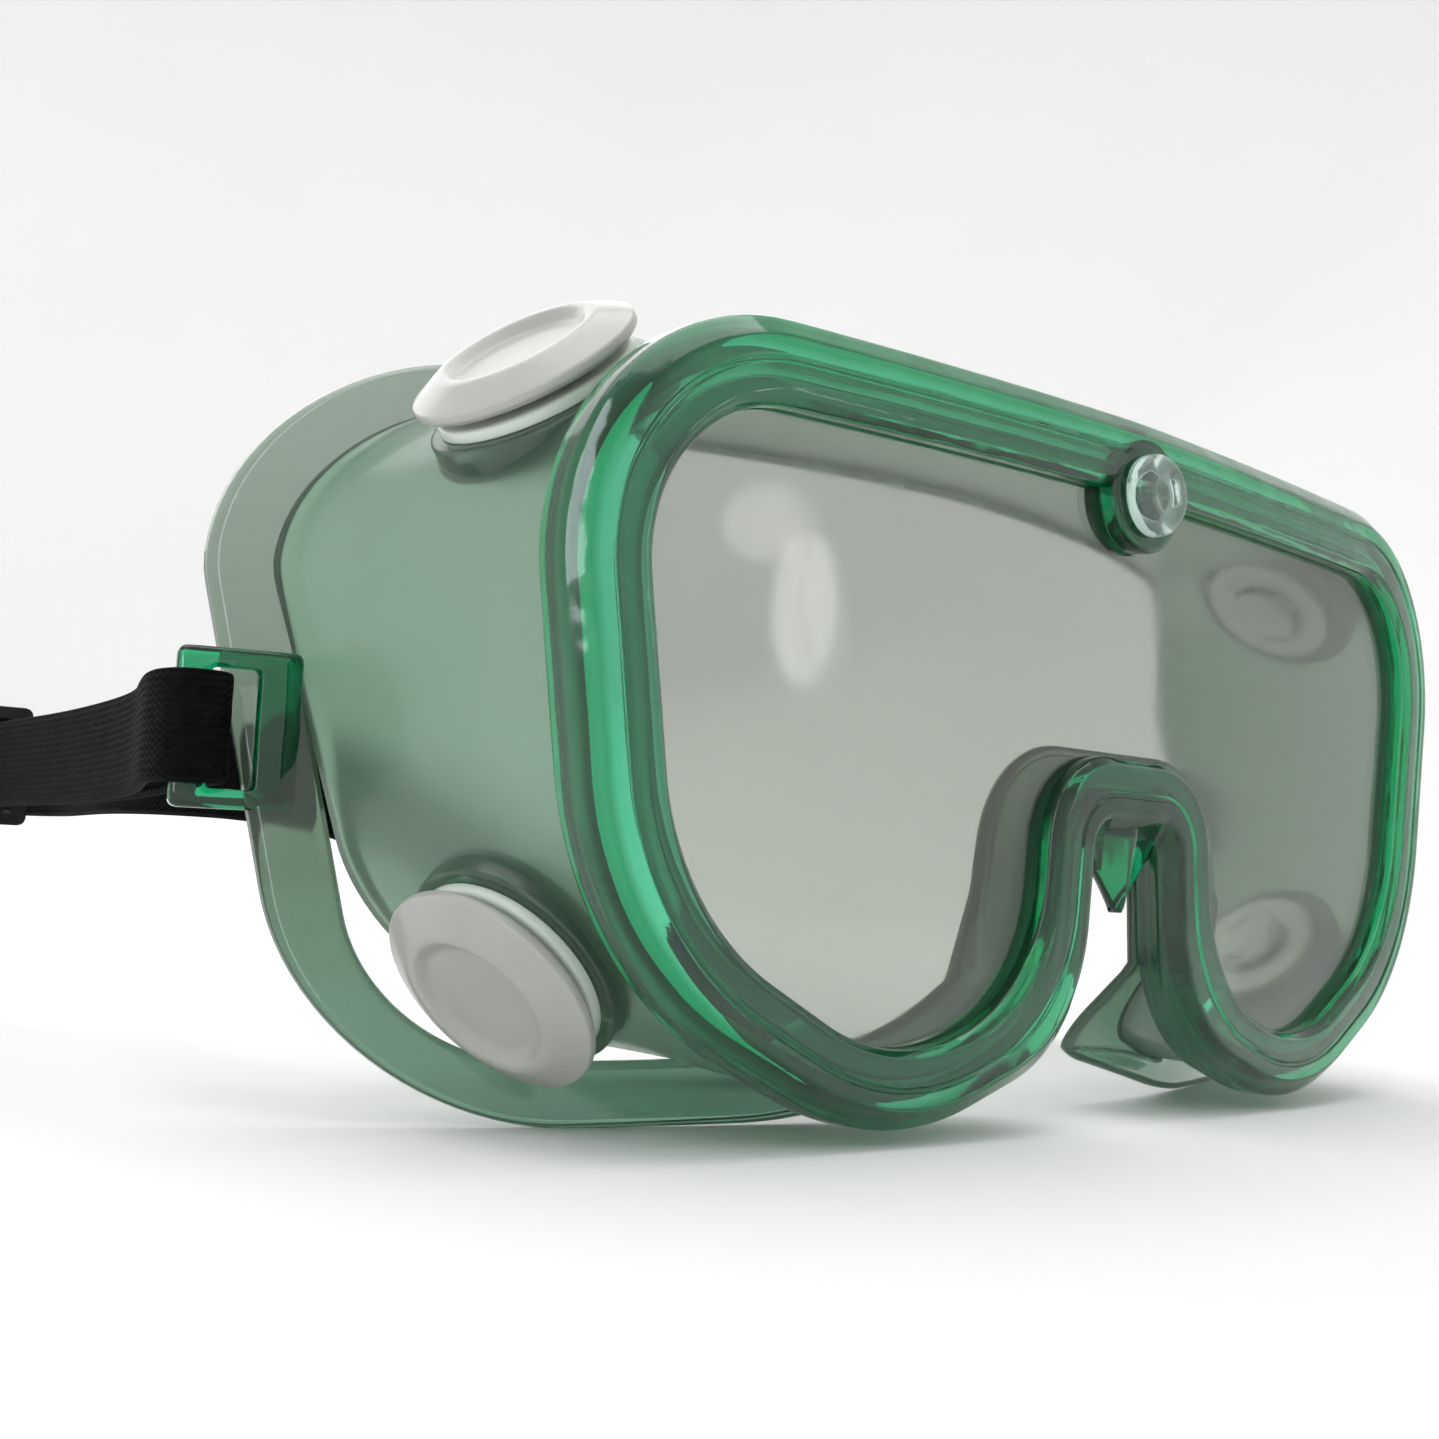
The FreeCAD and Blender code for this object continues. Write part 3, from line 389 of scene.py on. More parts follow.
def traced(corners):
    """Points (x, z) round the outline: as many on each corner and each run of one outline as of another."""
    arcs = []
    count = len(corners)
    for i, (x, z, radius) in enumerate(corners):
        here = Vector((x, z))
        back = Vector(corners[i - 1][:2]) - here
        ahead = Vector(corners[(i + 1) % count][:2]) - here
        longest = 0.49 * min(back.length, ahead.length)
        back.normalize()
        ahead.normalize()
        half = back.angle(ahead) / 2
        run = min(radius / math.tan(half), longest)
        radius = run * math.tan(half)
        centre = here + (back + ahead).normalized() * (radius / math.sin(half))
        first = here + back * run - centre
        turn = first.angle_signed(here + ahead * run - centre)
        points = []
        for step in range(ARC_STEPS + 1):
            angle = -turn * step / ARC_STEPS
            spun = Vector((
                first.x * math.cos(angle) - first.y * math.sin(angle),
                first.x * math.sin(angle) + first.y * math.cos(angle),
            ))
            points.append(centre + spun)
        arcs.append(points)
    line = []
    for i, points in enumerate(arcs):
        line += points[:-1]
        start, end = points[-1], arcs[(i + 1) % count][0]
        line += [start.lerp(end, step / RUN_STEPS) for step in range(RUN_STEPS)]
    return np.array([tuple(p) for p in line])


FRONT_RADIUS = 656  # of the curved front, seen from above


def sag(x):
    """How far the curved front falls back at x."""
    return FRONT_RADIUS - np.sqrt(FRONT_RADIUS ** 2 - x ** 2)


FACE_RADIUS = 150  # of the forehead, seen from above
FACE_DEPTH = 27.5  # of the forehead's middle, behind the front of the lens
CHEEK_TOP, CHEEK_LEAN = 57.4, 0.24  # where the face starts to come forward, and how steeply
NOSE_TOP = 50
PAD_DEPTH = 4.2  # of the nose pads at the arch
PAD_LOW, PAD_DROP = 18.5, 1.072  # where the pads start to fall back below, and how steeply
PAD_HALF, PAD_SPREAD = 23, 0.839  # where they start to fall back sideways, and how steeply


def face(x, z):
    """Depth of the wearer's face behind the lens front: forehead and cheeks, then the nose."""
    x = np.abs(x)
    forehead = FACE_DEPTH + FACE_RADIUS - np.sqrt(np.maximum(FACE_RADIUS ** 2 - x ** 2, 1))
    brow = forehead - CHEEK_LEAN * np.maximum(0, CHEEK_TOP - z)
    below = PAD_DEPTH + np.maximum(0, PAD_LOW - z) * PAD_DROP
    nose = np.maximum(below, PAD_DEPTH + (x - PAD_HALF) / PAD_SPREAD)
    return np.where(z < NOSE_TOP, np.minimum(brow, nose), brow)


# ---------------------------------------------------------------- mesh helpers


def linked(name, data, material):
    """Object of the scene that shows a mesh in one material."""
    data.materials.append(material)
    piece = bpy.data.objects.new(name, data)
    bpy.context.collection.objects.link(piece)
    return piece


def new_object(name, vertices, faces, material):
    """Smooth-shaded object from points in metres."""
    mesh = bpy.data.meshes.new(name)
    mesh.from_pydata([tuple(v) for v in vertices], [], faces)
    mesh.validate()
    mesh.update()
    mesh.shade_smooth()
    return linked(name, mesh, material)


def from_bmesh(name, mesh, material, smooth=True, sharp=None):
    """Object from an edit mesh, with the edges sharper than so many degrees left sharp."""
    data = bpy.data.meshes.new(name)
    mesh.to_mesh(data)
    mesh.free()
    if smooth:
        data.shade_smooth()
    if sharp:
        data.set_sharp_from_angle(angle=math.radians(sharp))
    return linked(name, data, material)


def strips(mesh, loops):
    """Quads between each loop of an edit mesh's vertices and the next."""
    count = len(loops[0])
    for low, high in zip(loops, loops[1:]):
        for i in range(count):
            k = (i + 1) % count
            mesh.faces.new((low[i], low[k], high[k], high[i]))


def placed(x, y, z):
    """Stacked drawing coordinates in millimetres to row coordinates in metres."""
    return np.stack([x, y + SHIFT_Y, z + SHIFT_Z], -1) * MM


def ring_mesh(rows, closed_rows):
    """Vertices and quads of a grid of closed loops; rows has shape (loops, points, 3)."""
    loops, count = rows.shape[:2]
    faces = []
    last = loops if closed_rows else loops - 1
    for j in range(last):
        for i in range(count):
            k = (i + 1) % count
            a, b = j * count, ((j + 1) % loops) * count
            faces.append((a + i, b + i, b + k, a + k))
    return rows.reshape(-1, 3), faces


def outward_normals(piece):
    mesh = bmesh.new()
    mesh.from_mesh(piece.data)
    bmesh.ops.recalc_face_normals(mesh, faces=mesh.faces)
    mesh.to_mesh(piece.data)
    mesh.free()


def rounded(profile, radius, steps=4):
    """Closed profile with its corners rounded; a corner is (u, v), or (u, v, its own radius)."""
    out = []
    count = len(profile)
    for i in range(count):
        u, v = profile[i][:2]
        own = profile[i][2] if len(profile[i]) > 2 else radius
        here = Vector((u, v))
        back = Vector(profile[i - 1][:2]) - here
        ahead = Vector(profile[(i + 1) % count][:2]) - here
        run = min(own, 0.45 * back.length, 0.45 * ahead.length)
        if run < 1e-4:
            out.append((u, v))
            continue
        start, end = here + back.normalized() * run, here + ahead.normalized() * run
        for step in range(steps + 1):
            s = step / steps
            point = start * (1 - s) ** 2 + here * 2 * s * (1 - s) + end * s ** 2
            out.append((point.x, point.y))
    return out


# ---------------------------------------------------------------- frame


def sweep_rim(name, profile, material):
    """Profile of (offset from the opening, depth) swept round the opening and bent with the front."""
    rows = []
    for offset, depth in profile:
        line = traced(rim_outline(offset))
        x, z = line[:, 0], line[:, 1]
        rows.append(placed(x, depth + sag(x), z))
    vertices, faces = ring_mesh(np.array(rows), True)
    piece = new_object(name, vertices, faces, material)
    outward_normals(piece)
    section = piece.data.uv_layers.new(name="section")
    count = len(rows[0])
    for loop in piece.data.loops:
        offset, depth = profile[loop.vertex_index // count]
        section.data[loop.index].uv = (offset / LIP_WIDTH, (depth - RIM_FRONT) / (RIM_BACK - RIM_FRONT))
    return piece


SKIRT_FRONT, SKIRT_BACK = 1.9, 62  # depths at which the wall's two outlines stand
SKIRT_AT_RIM = 6.0  # offset of the wall's outer face from the opening, at the rim
SKIRT_AT_FLANGE = 4.8  # how far inside the flange's edge it ends
SKIRT_OVERLAP = 0.5  # depth by which the wall starts behind the first outline, inside the rim
SKIRT_THICKNESS = 1.6
SHORT_SHARE = 0.4 / 60  # share of the way between the outlines by which the wall stops short of the face
LEAST_SHARE = 0.004  # share that it keeps where the face is close
SKIRT_STEPS = 26
HALVINGS = 40  # of the search for the face


def skirt_lines(inset):
    """Outlines that the skirt's straight wall runs between, and each point's share of the way to the face."""
    front = traced(rim_outline(SKIRT_AT_RIM - inset))
    back = traced(grown(FLANGE, -SKIRT_AT_FLANGE - inset))
    low, high = np.zeros(len(front)), np.ones(len(front))
    for _ in range(HALVINGS):
        t = (low + high) / 2
        p = front + (back - front) * t[:, None]
        over = SKIRT_FRONT + (SKIRT_BACK - SKIRT_FRONT) * t > face(p[:, 0], p[:, 1])
        high = np.where(over, t, high)
        low = np.where(over, low, t)
    return front, back, (low + high) / 2


def skirt_rows(inset):
    """Loops of one face of the wall, from inside the rim to just short of the face."""
    run = SKIRT_BACK - SKIRT_FRONT
    front, back, end = skirt_lines(inset)
    begin = (SKIRT_OVERLAP + sag(front[:, 0])) / run
    finish = np.maximum(end - SHORT_SHARE, begin + LEAST_SHARE)
    rows = []
    for step in range(SKIRT_STEPS + 1):
        t = begin + (finish - begin) * step / SKIRT_STEPS
        p = front + (back - front) * t[:, None]
        rows.append(placed(p[:, 0], SKIRT_FRONT + run * t, p[:, 1]))
    return rows


def make_skirt(material):
    rows = np.array(skirt_rows(0.0) + skirt_rows(SKIRT_THICKNESS)[::-1])
    vertices, faces = ring_mesh(rows, True)
    piece = new_object("frame_skirt", vertices, faces, material)
    outward_normals(piece)
    return piece


def make_flange(material):
    """Flange and nose pads: a thin lip from the outer edge to the face opening, on the face's surface."""
    outer = traced(FLANGE)
    inner = traced(face_opening())
    across, thickness, near = 14, 1.4, 0.2
    back_rows, front_rows = [], []
    for k in range(across + 1):
        x, z = (outer + (inner - outer) * k / across).T
        rim_back = 1.75 + sag(x)
        slope = (face(x + near, z) - face(x - near, z)) / (2 * near)
        lean = np.sqrt(1 + np.minimum(slope ** 2, 1.5))
        middle = face(x, z) - thickness / 2 * lean
        at_edge = k in (0, across)
        half = thickness * lean / (4 if at_edge else 2)
        back_rows.append(placed(x, np.maximum(middle + half, rim_back + 0.6), z))
        front_rows.append(placed(x, np.maximum(middle - half, rim_back), z))
    vertices, faces = ring_mesh(np.array(back_rows + front_rows[::-1]), True)
    piece = new_object("frame_flange", vertices, faces, material)
    outward_normals(piece)
    return piece


def lathe(name, profile, origin, axis, material, segments=96, closed=False):
    """Profile of (radius, height) in millimetres turned about an axis from origin; closed makes a ring."""
    turn = Vector((0, 0, 1)).rotation_difference(Vector(axis)).to_matrix()
    vertices, faces = [], []
    for radius, height in profile:
        for i in range(segments):
            angle = 2 * math.pi * i / segments
            local = Vector((radius * math.cos(angle), radius * math.sin(angle), height)) * MM
            vertices.append(turn @ local + Vector(origin))
    count = len(profile)
    for j in range(count if closed else count - 1):
        for i in range(segments):
            k = (i + 1) % segments
            a, b = j * segments, ((j + 1) % count) * segments
            faces.append((a + i, a + k, b + k, b + i))
    if not closed:
        for j in (0, count - 1):
            if profile[j][0] > 1e-4:
                faces.append(tuple(range(j * segments, (j + 1) * segments)))
    piece = new_object(name, vertices, faces, material)
    mesh = bmesh.new()
    mesh.from_mesh(piece.data)
    bmesh.ops.remove_doubles(mesh, verts=mesh.verts, dist=1e-7)
    bmesh.ops.recalc_face_normals(mesh, faces=mesh.faces)
    mesh.to_mesh(piece.data)
    mesh.free()
    return piece


def vent_axes():
    """Seat and outward direction of each vent, from the caps' own joints."""
    found = {}
    for joint in frame["record"]["behaviour"]["joints"]:
        kind, _, vent = joint["name"].partition("cap_turn_")
        if vent and not kind:
            found[vent] = (Vector(joint["pos_m"]), Vector(joint["axis"]).normalized())
    return found


BORE_CLEARED = 0.0098  # radius in metres within which the skirt is cut away round a vent
BORE_REACH = 0.012  # how far along the vent's axis, each way


def clear_bores(piece, seats):
    """Cuts the skirt away inside each vent's boss, so that the bore goes right through."""
    mesh = bmesh.new()
    mesh.from_mesh(piece.data)
    gone = []
    for f in mesh.faces:
        centre = f.calc_center_median()
        for seat, axis in seats:
            away = centre - seat
            height = away.dot(axis)
            if abs(height) < BORE_REACH and (away - axis * height).length < BORE_CLEARED:
                gone.append(f)
                break
    bmesh.ops.delete(mesh, geom=gone, context="FACES")
    mesh.to_mesh(piece.data)
    mesh.free()


def plate_with_window(name, plate, window, thickness, bevel, place, material):
    """Flat plate with rounded corners; plate and window are (low u, high u, low v, high v)."""
    mesh = bmesh.new()
    rings = []
    for (u0, u1, v0, v1), radius, sign in ((plate, 1.1, -1), (window, 0.7, 1)):
        shape = rounded([(u0, v0), (u1, v0), (u1, v1), (u0, v1)], radius, 5)
        loops = []
        for end, pull in ((-1, bevel), (-1, 0.0), (1, 0.0), (1, bevel)):
            depth = end * (thickness / 2 - (0.0 if pull else bevel))
            loop = []
            for u, v in shape:
                du = sign * math.copysign(pull, u - (u0 + u1) / 2)
                dv = sign * math.copysign(pull, v - (v0 + v1) / 2)
                loop.append(mesh.verts.new(place @ (Vector((u + du, depth, v + dv)) * MM)))
            loops.append(loop)
        strips(mesh, loops)
        rings.append(loops)
    for end in (0, -1):
        strips(mesh, [rings[0][end], rings[1][end]])
    bmesh.ops.recalc_face_normals(mesh, faces=mesh.faces)
    return from_bmesh(name, mesh, material)


EAR_ROOT = (80.6, 45.6, 39.4)
EAR_ANGLE = 18  # degrees that the ear leans back


def ear_frame(side):
    """Local X from the ear's root to its tip, local Z up."""
    angle = math.radians(EAR_ANGLE)
    up = Vector((0, 0, 1))
    along = Vector((side * math.cos(angle), math.sin(angle), 0))
    x, y, z = EAR_ROOT
    root = Vector((side * x, y + SHIFT_Y, z + SHIFT_Z)) * MM
    axes = Matrix((along, up.cross(along), up)).transposed().to_4x4()
    return Matrix.Translation(root) @ axes


def make_frame():
    rim, skirt, flange = rim_material(), skirt_material(), flange_material()
    pieces = []
    # chamfered front with a shallow groove in it, outer side, back, and the groove that holds the lens
    profile = rounded([
        (0.0, -0.12, 0.05), (0.0, -1.5, 0.4), (1.1, RIM_FRONT, 0.4), (4.0, RIM_FRONT, 0.1),
        (4.2, -2.35, 0.1), (4.6, -2.35, 0.1), (4.8, RIM_FRONT, 0.1), (6.7, RIM_FRONT, 0.5),
        (LIP_WIDTH, -0.5, 0.5), (LIP_WIDTH, RIM_BACK, 0.6), (5.2, RIM_BACK, 0.5),
        (0.0, RIM_BACK, 0.8), (0.0, 1.6, 0.05), (3.02, 1.6, 0.05), (3.02, -0.12, 0.05),
    ], 0.3, 6)
    pieces.append(sweep_rim("frame_rim", profile, rim))
    vents = vent_axes()
    wall = make_skirt(skirt)
    clear_bores(wall, vents.values())
    pieces += [wall, make_flange(flange)]
    boss = rounded([(7.62, -3.8), (12, -3.8), (12, BOSS_TOP), (7.62, BOSS_TOP)], 0.6, 4)
    for name, (seat, axis) in vents.items():
        pieces.append(lathe("frame_boss_" + name, boss, seat, axis, skirt, 96, True))
    plate, window = (0, 12.6, -8.2, 8.2), (4.4, 9.2, -6.2, 6.2)
    for name, side in (("left", -1), ("right", 1)):
        ear = plate_with_window("frame_ear_" + name, plate, window, 2.2, 0.35, ear_frame(side), rim)
        pieces.append(ear)
    tab = rounded([(2.42, RIM_FRONT), (6.6, RIM_FRONT, 0.9), (6.6, -0.1), (2.42, -0.1)], 0.2, 4)
    back = rounded([(2.42, 1.6), (6.6, 1.6), (6.6, RIM_BACK, 0.7), (2.42, RIM_BACK)], 0.2, 4)
    for name, ring in (("frame_tab_front", tab), ("frame_tab_back", back)):
        pieces.append(lathe(name, ring, STUD_SEAT, (0, 1, 0), rim, 64, True))
    pieces.append(make_web(rim))
    for piece in pieces:
        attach(piece, "frame")
        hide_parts("goggle_frame")


def make_web(material):
    """Web that closes the top of the nose arch: a folded tongue with a ridge down its middle."""
    half, tip, top, low = 8.4, 0.25, 38.5, 24.6
    taper = 9  # height over which it narrows to its tip
    columns, levels = 16, 24
    u = np.linspace(-1, 1, columns + 1)
    fold = (1 - np.abs(u)) ** 1.2
    rows = []
    for step in range(levels + 1):
        z = top + (low - top) * step / levels
        narrow = min(1.0, max(0.0, (z - low) / taper)) ** 1.15
        x = u * (tip + (half - tip) * narrow)
        ridge = 0.4 - (0.5 + 1.6 * narrow ** 0.5) * fold
        front = placed(x, ridge + sag(x), np.full_like(x, z))
        back = placed(x, LENS_THICKNESS + sag(x), np.full_like(x, z))
        rows.append(np.concatenate([front, back[::-1]]))
    rows = np.array(rows)
    vertices, faces = ring_mesh(rows, False)
    count = len(rows[0])
    faces.append(tuple(range(count)))
    faces.append(tuple(range(levels * count, (levels + 1) * count))[::-1])
    piece = new_object("frame_nose_web", vertices, faces, material)
    outward_normals(piece)
    return piece


make_frame()


# ---------------------------------------------------------------- hard parts


def make_vents():
    """Caps, each with its legs and the disc that joins their ends, and the sleeves that they turn in."""
    cap = vent_material("cap_plastic", (0.40, 0.395, 0.37, 1), (0.47, 0.465, 0.44, 1))
    # painted light: the sleeves' cream is made paler than their own colour to lift their shaded insides
    base = vent_material("sleeve_plastic_with_painted_light", (0.70, 0.78, 0.68, 1), (0.80, 0.86, 0.77, 1))
    top, end = CAP_UNDER, LEG_END
    disc = rounded([
        (0, top, 0), (11.5, top, 0.3), (12.0, top + 0.5, 0.25), (12.0, top + 1.4, 0.25),
        (8.6, top + 3.1, 0.45), (7.6, top + 3.1, 0.35), (6.5, top + 2.0, 0.7), (0, top + 1.9, 0),
    ], 0.3, 5)
    plate = rounded([(0, end, 0), (4.7, end, 0.3), (4.7, end + 0.9, 0.2), (0, end + 0.9, 0)], 0.2, 3)
    sleeve = rounded([
        (5.0, SLEEVE_END, 0.3), (9.2, SLEEVE_END, 0.6), (9.2, -3.85, 0.3), (7.5, -3.85, 0.2),
        (7.5, 0.45, 0.2), (10.7, 0.45, 0.2), (10.7, SLEEVE_TOP, 0.6), (5.0, SLEEVE_TOP, 0.4),
    ], 0.3, 4)
    for name, (seat, axis) in vent_axes().items():
        piece = lathe("cap_disc_" + name, disc, seat, axis, cap, 128)
        # painted light: the cap's legs and floor take the paler sleeve colour instead of the cap's own, where
        # they sit in shade
        legs = cap_legs("cap_legs_" + name, seat, axis, base)
        floor = lathe("cap_floor_" + name, plate, seat, axis, base, 96)
        for part in (piece, legs, floor):
            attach(part, "cap_" + name)
            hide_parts("vent_cap_" + name)
        part = lathe("vent_sleeve_" + name, sleeve, seat, axis, base, 128, True)
        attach(part, "frame")
        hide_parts("vent_base_" + name)


def cap_legs(name, seat, axis, material):
    """Three barbed legs under the cap's disc."""
    turn = Vector((0, 0, 1)).rotation_difference(axis).to_matrix()
    root, hook, half_width = CAP_UNDER + 0.5, LEG_END + BARB_HEIGHT, 1.8
    side = [(3.3, LEG_END), (4.6, LEG_END), (5.4, hook), (4.6, hook), (4.6, root), (3.3, root)]
    mesh = bmesh.new()
    for leg in range(3):
        spin = Matrix.Rotation(math.radians(120 * leg), 3, "Z")
        rings = []
        for wide in (-half_width, half_width):
            ring = [seat + turn @ (spin @ (Vector((r, wide, h)) * MM)) for r, h in side]
            rings.append([mesh.verts.new(point) for point in ring])
        count = len(side)
        for i in range(count):
            k = (i + 1) % count
            mesh.faces.new((rings[0][i], rings[0][k], rings[1][k], rings[1][i]))
        for ring in rings:
            mesh.faces.new(ring)
    bmesh.ops.recalc_face_normals(mesh, faces=mesh.faces)
    bmesh.ops.bevel(
        mesh, geom=mesh.edges[:], offset=0.0001, segments=2, affect="EDGES", clamp_overlap=True,
    )
    return from_bmesh(name, mesh, material, smooth=False)


make_vents()


def make_stud():
    """Dimpled snap stud and the collar that holds it behind the rim."""
    plastic = stud_material()
    button = rounded([
        (0, -5.35, 0), (1.8, -5.35, 0), (2.3, -5.35, 0.3), (2.3, 2.65, 0.1), (4.8, 2.65, 0.1),
        (4.8, 4.2, 0.9), (3.7, 5.25, 0.7), (2.4, 5.25, 0.6), (1.3, 4.55, 0.5), (0, 4.55, 0),
    ], 0.3, 5)
    piece = lathe("stud_button", button, STUD_SEAT, (0, -1, 0), plastic, 96)
    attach(piece, "frame")
    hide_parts("lens_stud")
    ring = rounded([(2.35, 2.95), (4.2, 2.95), (4.2, 4.55, 0.6), (2.35, 4.55)], 0.15, 4)
    collar = lathe("collar_ring", ring, STUD_SEAT, (0, 1, 0), plastic, 96, True)
    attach(collar, "frame")
    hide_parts("stud_collar")


make_stud()


def make_lens():
    """Pane with softly broken edges, cut into upright strips and bent to the front's curve."""
    inset, back, chamfer = LENS_INSET, LENS_THICKNESS, 0.25
    mesh = bmesh.new()
    loops = []
    for offset, depth in (
        (inset - chamfer, 0.0), (inset, chamfer), (inset, back - chamfer), (inset - chamfer, back),
    ):
        loops.append([mesh.verts.new((x, depth, z)) for x, z in traced(grown(OPENING, offset))])
    strips(mesh, loops)
    flats = [mesh.faces.new(loops[0]), mesh.faces.new(loops[-1])]
    bmesh.ops.recalc_face_normals(mesh, faces=mesh.faces)
    bmesh.ops.triangulate(mesh, faces=flats)
    reach, strip = 74, 2
    for x in range(-reach, reach + 1, strip):
        everything = mesh.verts[:] + mesh.edges[:] + mesh.faces[:]
        bmesh.ops.bisect_plane(
            mesh, geom=everything, dist=1e-5, plane_co=(x, 0, 0), plane_no=(1, 0, 0),
        )
    for v in mesh.verts:
        x, y, z = v.co
        v.co = Vector((x, y + sag(x) + SHIFT_Y, z + SHIFT_Z)) * MM
    piece = from_bmesh("lens_glass", mesh, lens_material(), sharp=25)
    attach(piece, "frame")
    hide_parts("lens")


make_lens()


# ---------------------------------------------------------------- strap

# Control points of the strap's route, (x, y, z, twist in degrees): at 0 the band stands on edge, at 90 it
# lies flat. It runs from its free end to the left ear, round it and straight back, turns about, comes in
# along itself, lies over the table behind the goggles and goes round the right ear.
ROUTE = [
    (-76.1, 148.2, 37.6, 0), (-79.5, 120, 37.6, 0), (-82.6, 94, 37.6, 0), (-85.8, 68, 38.2, 0),
    (-86.9, 57.5, 39.2, 0), (-87.2, 50.6, 39.3, 0), (-88.6, 45.4, 39.3, 0), (-93.6, 45.8, 39.3, 0),
    (-94.2, 50.6, 39.3, 0), (-92.6, 56.0, 39.0, 0), (-88.6, 66, 38.2, 0), (-84.6, 92, 37.6, 0),
    (-81.4, 120, 37.6, 0), (-78.0, 146, 37.6, 0), (-75.8, 165, 37.4, 0), (-63.2, 168, 37.0, 0),
    (-62.6, 147, 36.9, 0), (-69.0, 124, 36.9, 0), (-74.5, 104, 36.9, 0), (-76.2, 86, 36.8, 0),
    (-71.5, 70, 36.4, 0), (-60.5, 65, 34.5, 4), (-48.0, 62.8, 28.0, 16), (-32.0, 57, 19.0, 34),
    (-15.0, 49, 8.0, 62), (6.0, 45, 2.4, 86), (30.0, 48, 2.1, 90), (56.0, 70, 4.5, 78),
    (78.0, 82, 17.0, 50), (93.5, 81, 33.5, 14), (98.0, 68, 38.4, 4), (95.6, 56.5, 39.3, 0),
    (94.3, 50.0, 39.3, 0), (93.4, 45.6, 39.3, 0), (88.5, 45.6, 39.3, 0), (88.0, 51.0, 39.3, 0),
    (89.4, 57, 39.2, 0), (91.2, 64, 38.9, 0), (93.2, 73, 37.3, 2),
]
STRAP_WIDTH = 11.4
STRAP_THICKNESS = 1.4
STRAP_EDGE = 0.45  # how far the rounded edge reaches in
RIB_HEIGHT, RIBS = 0.05, 11


def route_line():
    """Points in metres along the smooth curve whose control points are the route's."""
    curve = bpy.data.curves.new("strap_route", "CURVE")
    curve.dimensions = "3D"
    curve.resolution_u = 14
    spline = curve.splines.new("NURBS")
    spline.points.add(len(ROUTE) - 1)
    for point, (x, y, z, _) in zip(spline.points, ROUTE):
        point.co = (x * MM, (y + SHIFT_Y) * MM, (z + SHIFT_Z) * MM, 1)
    spline.order_u = 3
    spline.use_endpoint_u = True
    holder = bpy.data.objects.new("strap_route", curve)
    bpy.context.collection.objects.link(holder)
    graph = bpy.context.evaluated_depsgraph_get()
    mesh = bpy.data.meshes.new_from_object(holder.evaluated_get(graph))
    line = [v.co.copy() for v in mesh.vertices]
    bpy.data.objects.remove(holder)
    bpy.data.meshes.remove(mesh)
    return line


def twist_at(share):
    """Twist in radians a share of the way along the route."""
    place = share * (len(ROUTE) - 1)
    i = min(int(place), len(ROUTE) - 2)
    return math.radians(ROUTE[i][3] + (ROUTE[i + 1][3] - ROUTE[i][3]) * (place - i))


def band_section():
    """Points (across, through) round the band: a flat face, a rounded edge, and both again turned about."""
    steps = 24
    flat = STRAP_WIDTH / 2 - STRAP_EDGE
    half = [(flat * (2 * step / steps - 1), STRAP_THICKNESS / 2) for step in range(steps + 1)]
    for angle in (60, 30, 0, -30, -60):
        a = math.radians(angle)
        half.append((flat + STRAP_EDGE * math.cos(a), STRAP_THICKNESS / 2 * math.sin(a)))
    return half + [(-w, -d) for w, d in half]


def make_strap():
    """The band swept along its route; returns it with its centre line and length."""
    line = route_line()
    count = len(line)
    section = band_section()
    vertices, faces, along = [], [], []
    length = 0.0
    for i, point in enumerate(line):
        heading = (line[min(i + 1, count - 1)] - line[max(i - 1, 0)]).normalized()
        if i:
            length += (point - line[i - 1]).length
        along.append(length)
        level = heading.cross(Vector((0, 0, 1))).normalized()
        upright = level.cross(heading)
        twist = twist_at(i / (count - 1))
        width = upright * math.cos(twist) + level * math.sin(twist)
        depth = heading.cross(width)
        for w, d in section:
            on_face = abs(d) > 0.9 * STRAP_THICKNESS / 2
            rib = RIB_HEIGHT * abs(math.sin(2 * math.pi * RIBS * w / STRAP_WIDTH)) if on_face else 0
            vertices.append(point + (width * w + depth * (d + math.copysign(rib, d))) * MM)
    n = len(section)
    for i in range(count - 1):
        for j in range(n):
            k = (j + 1) % n
            faces.append((i * n + j, i * n + k, (i + 1) * n + k, (i + 1) * n + j))
    faces.append(tuple(range(n))[::-1])
    faces.append(tuple(range((count - 1) * n, count * n)))
    piece = new_object("strap_elastic", vertices, faces, elastic_material())
    uv = piece.data.uv_layers.new(name="band")
    for loop in piece.data.loops:
        i, j = divmod(loop.vertex_index, n)
        uv.data[loop.index].uv = (section[j][0] / STRAP_WIDTH + 0.5, along[i])
    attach(piece, "frame")
    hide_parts("head_strap")
    return piece, line, length


LEG_ALONG, LEG_ACROSS = 0.9927, 0.1205  # direction of the strap's straight leg: back, and towards the middle
LEG_FRONT = (-84.5, 92.0)  # (x, y) of the leg's front end
SLIDER_REST = 137.0  # y of the slider at rest
SLIDER_Z = 37.6
SLIDER_INWARDS = 0.9  # from the leg's line to the middle of the two layers
SLIDER_LENGTH = 11.0
SLIDER_FLARE = 0.5  # both the outer face and the window widen this much at the ends, over as long a run


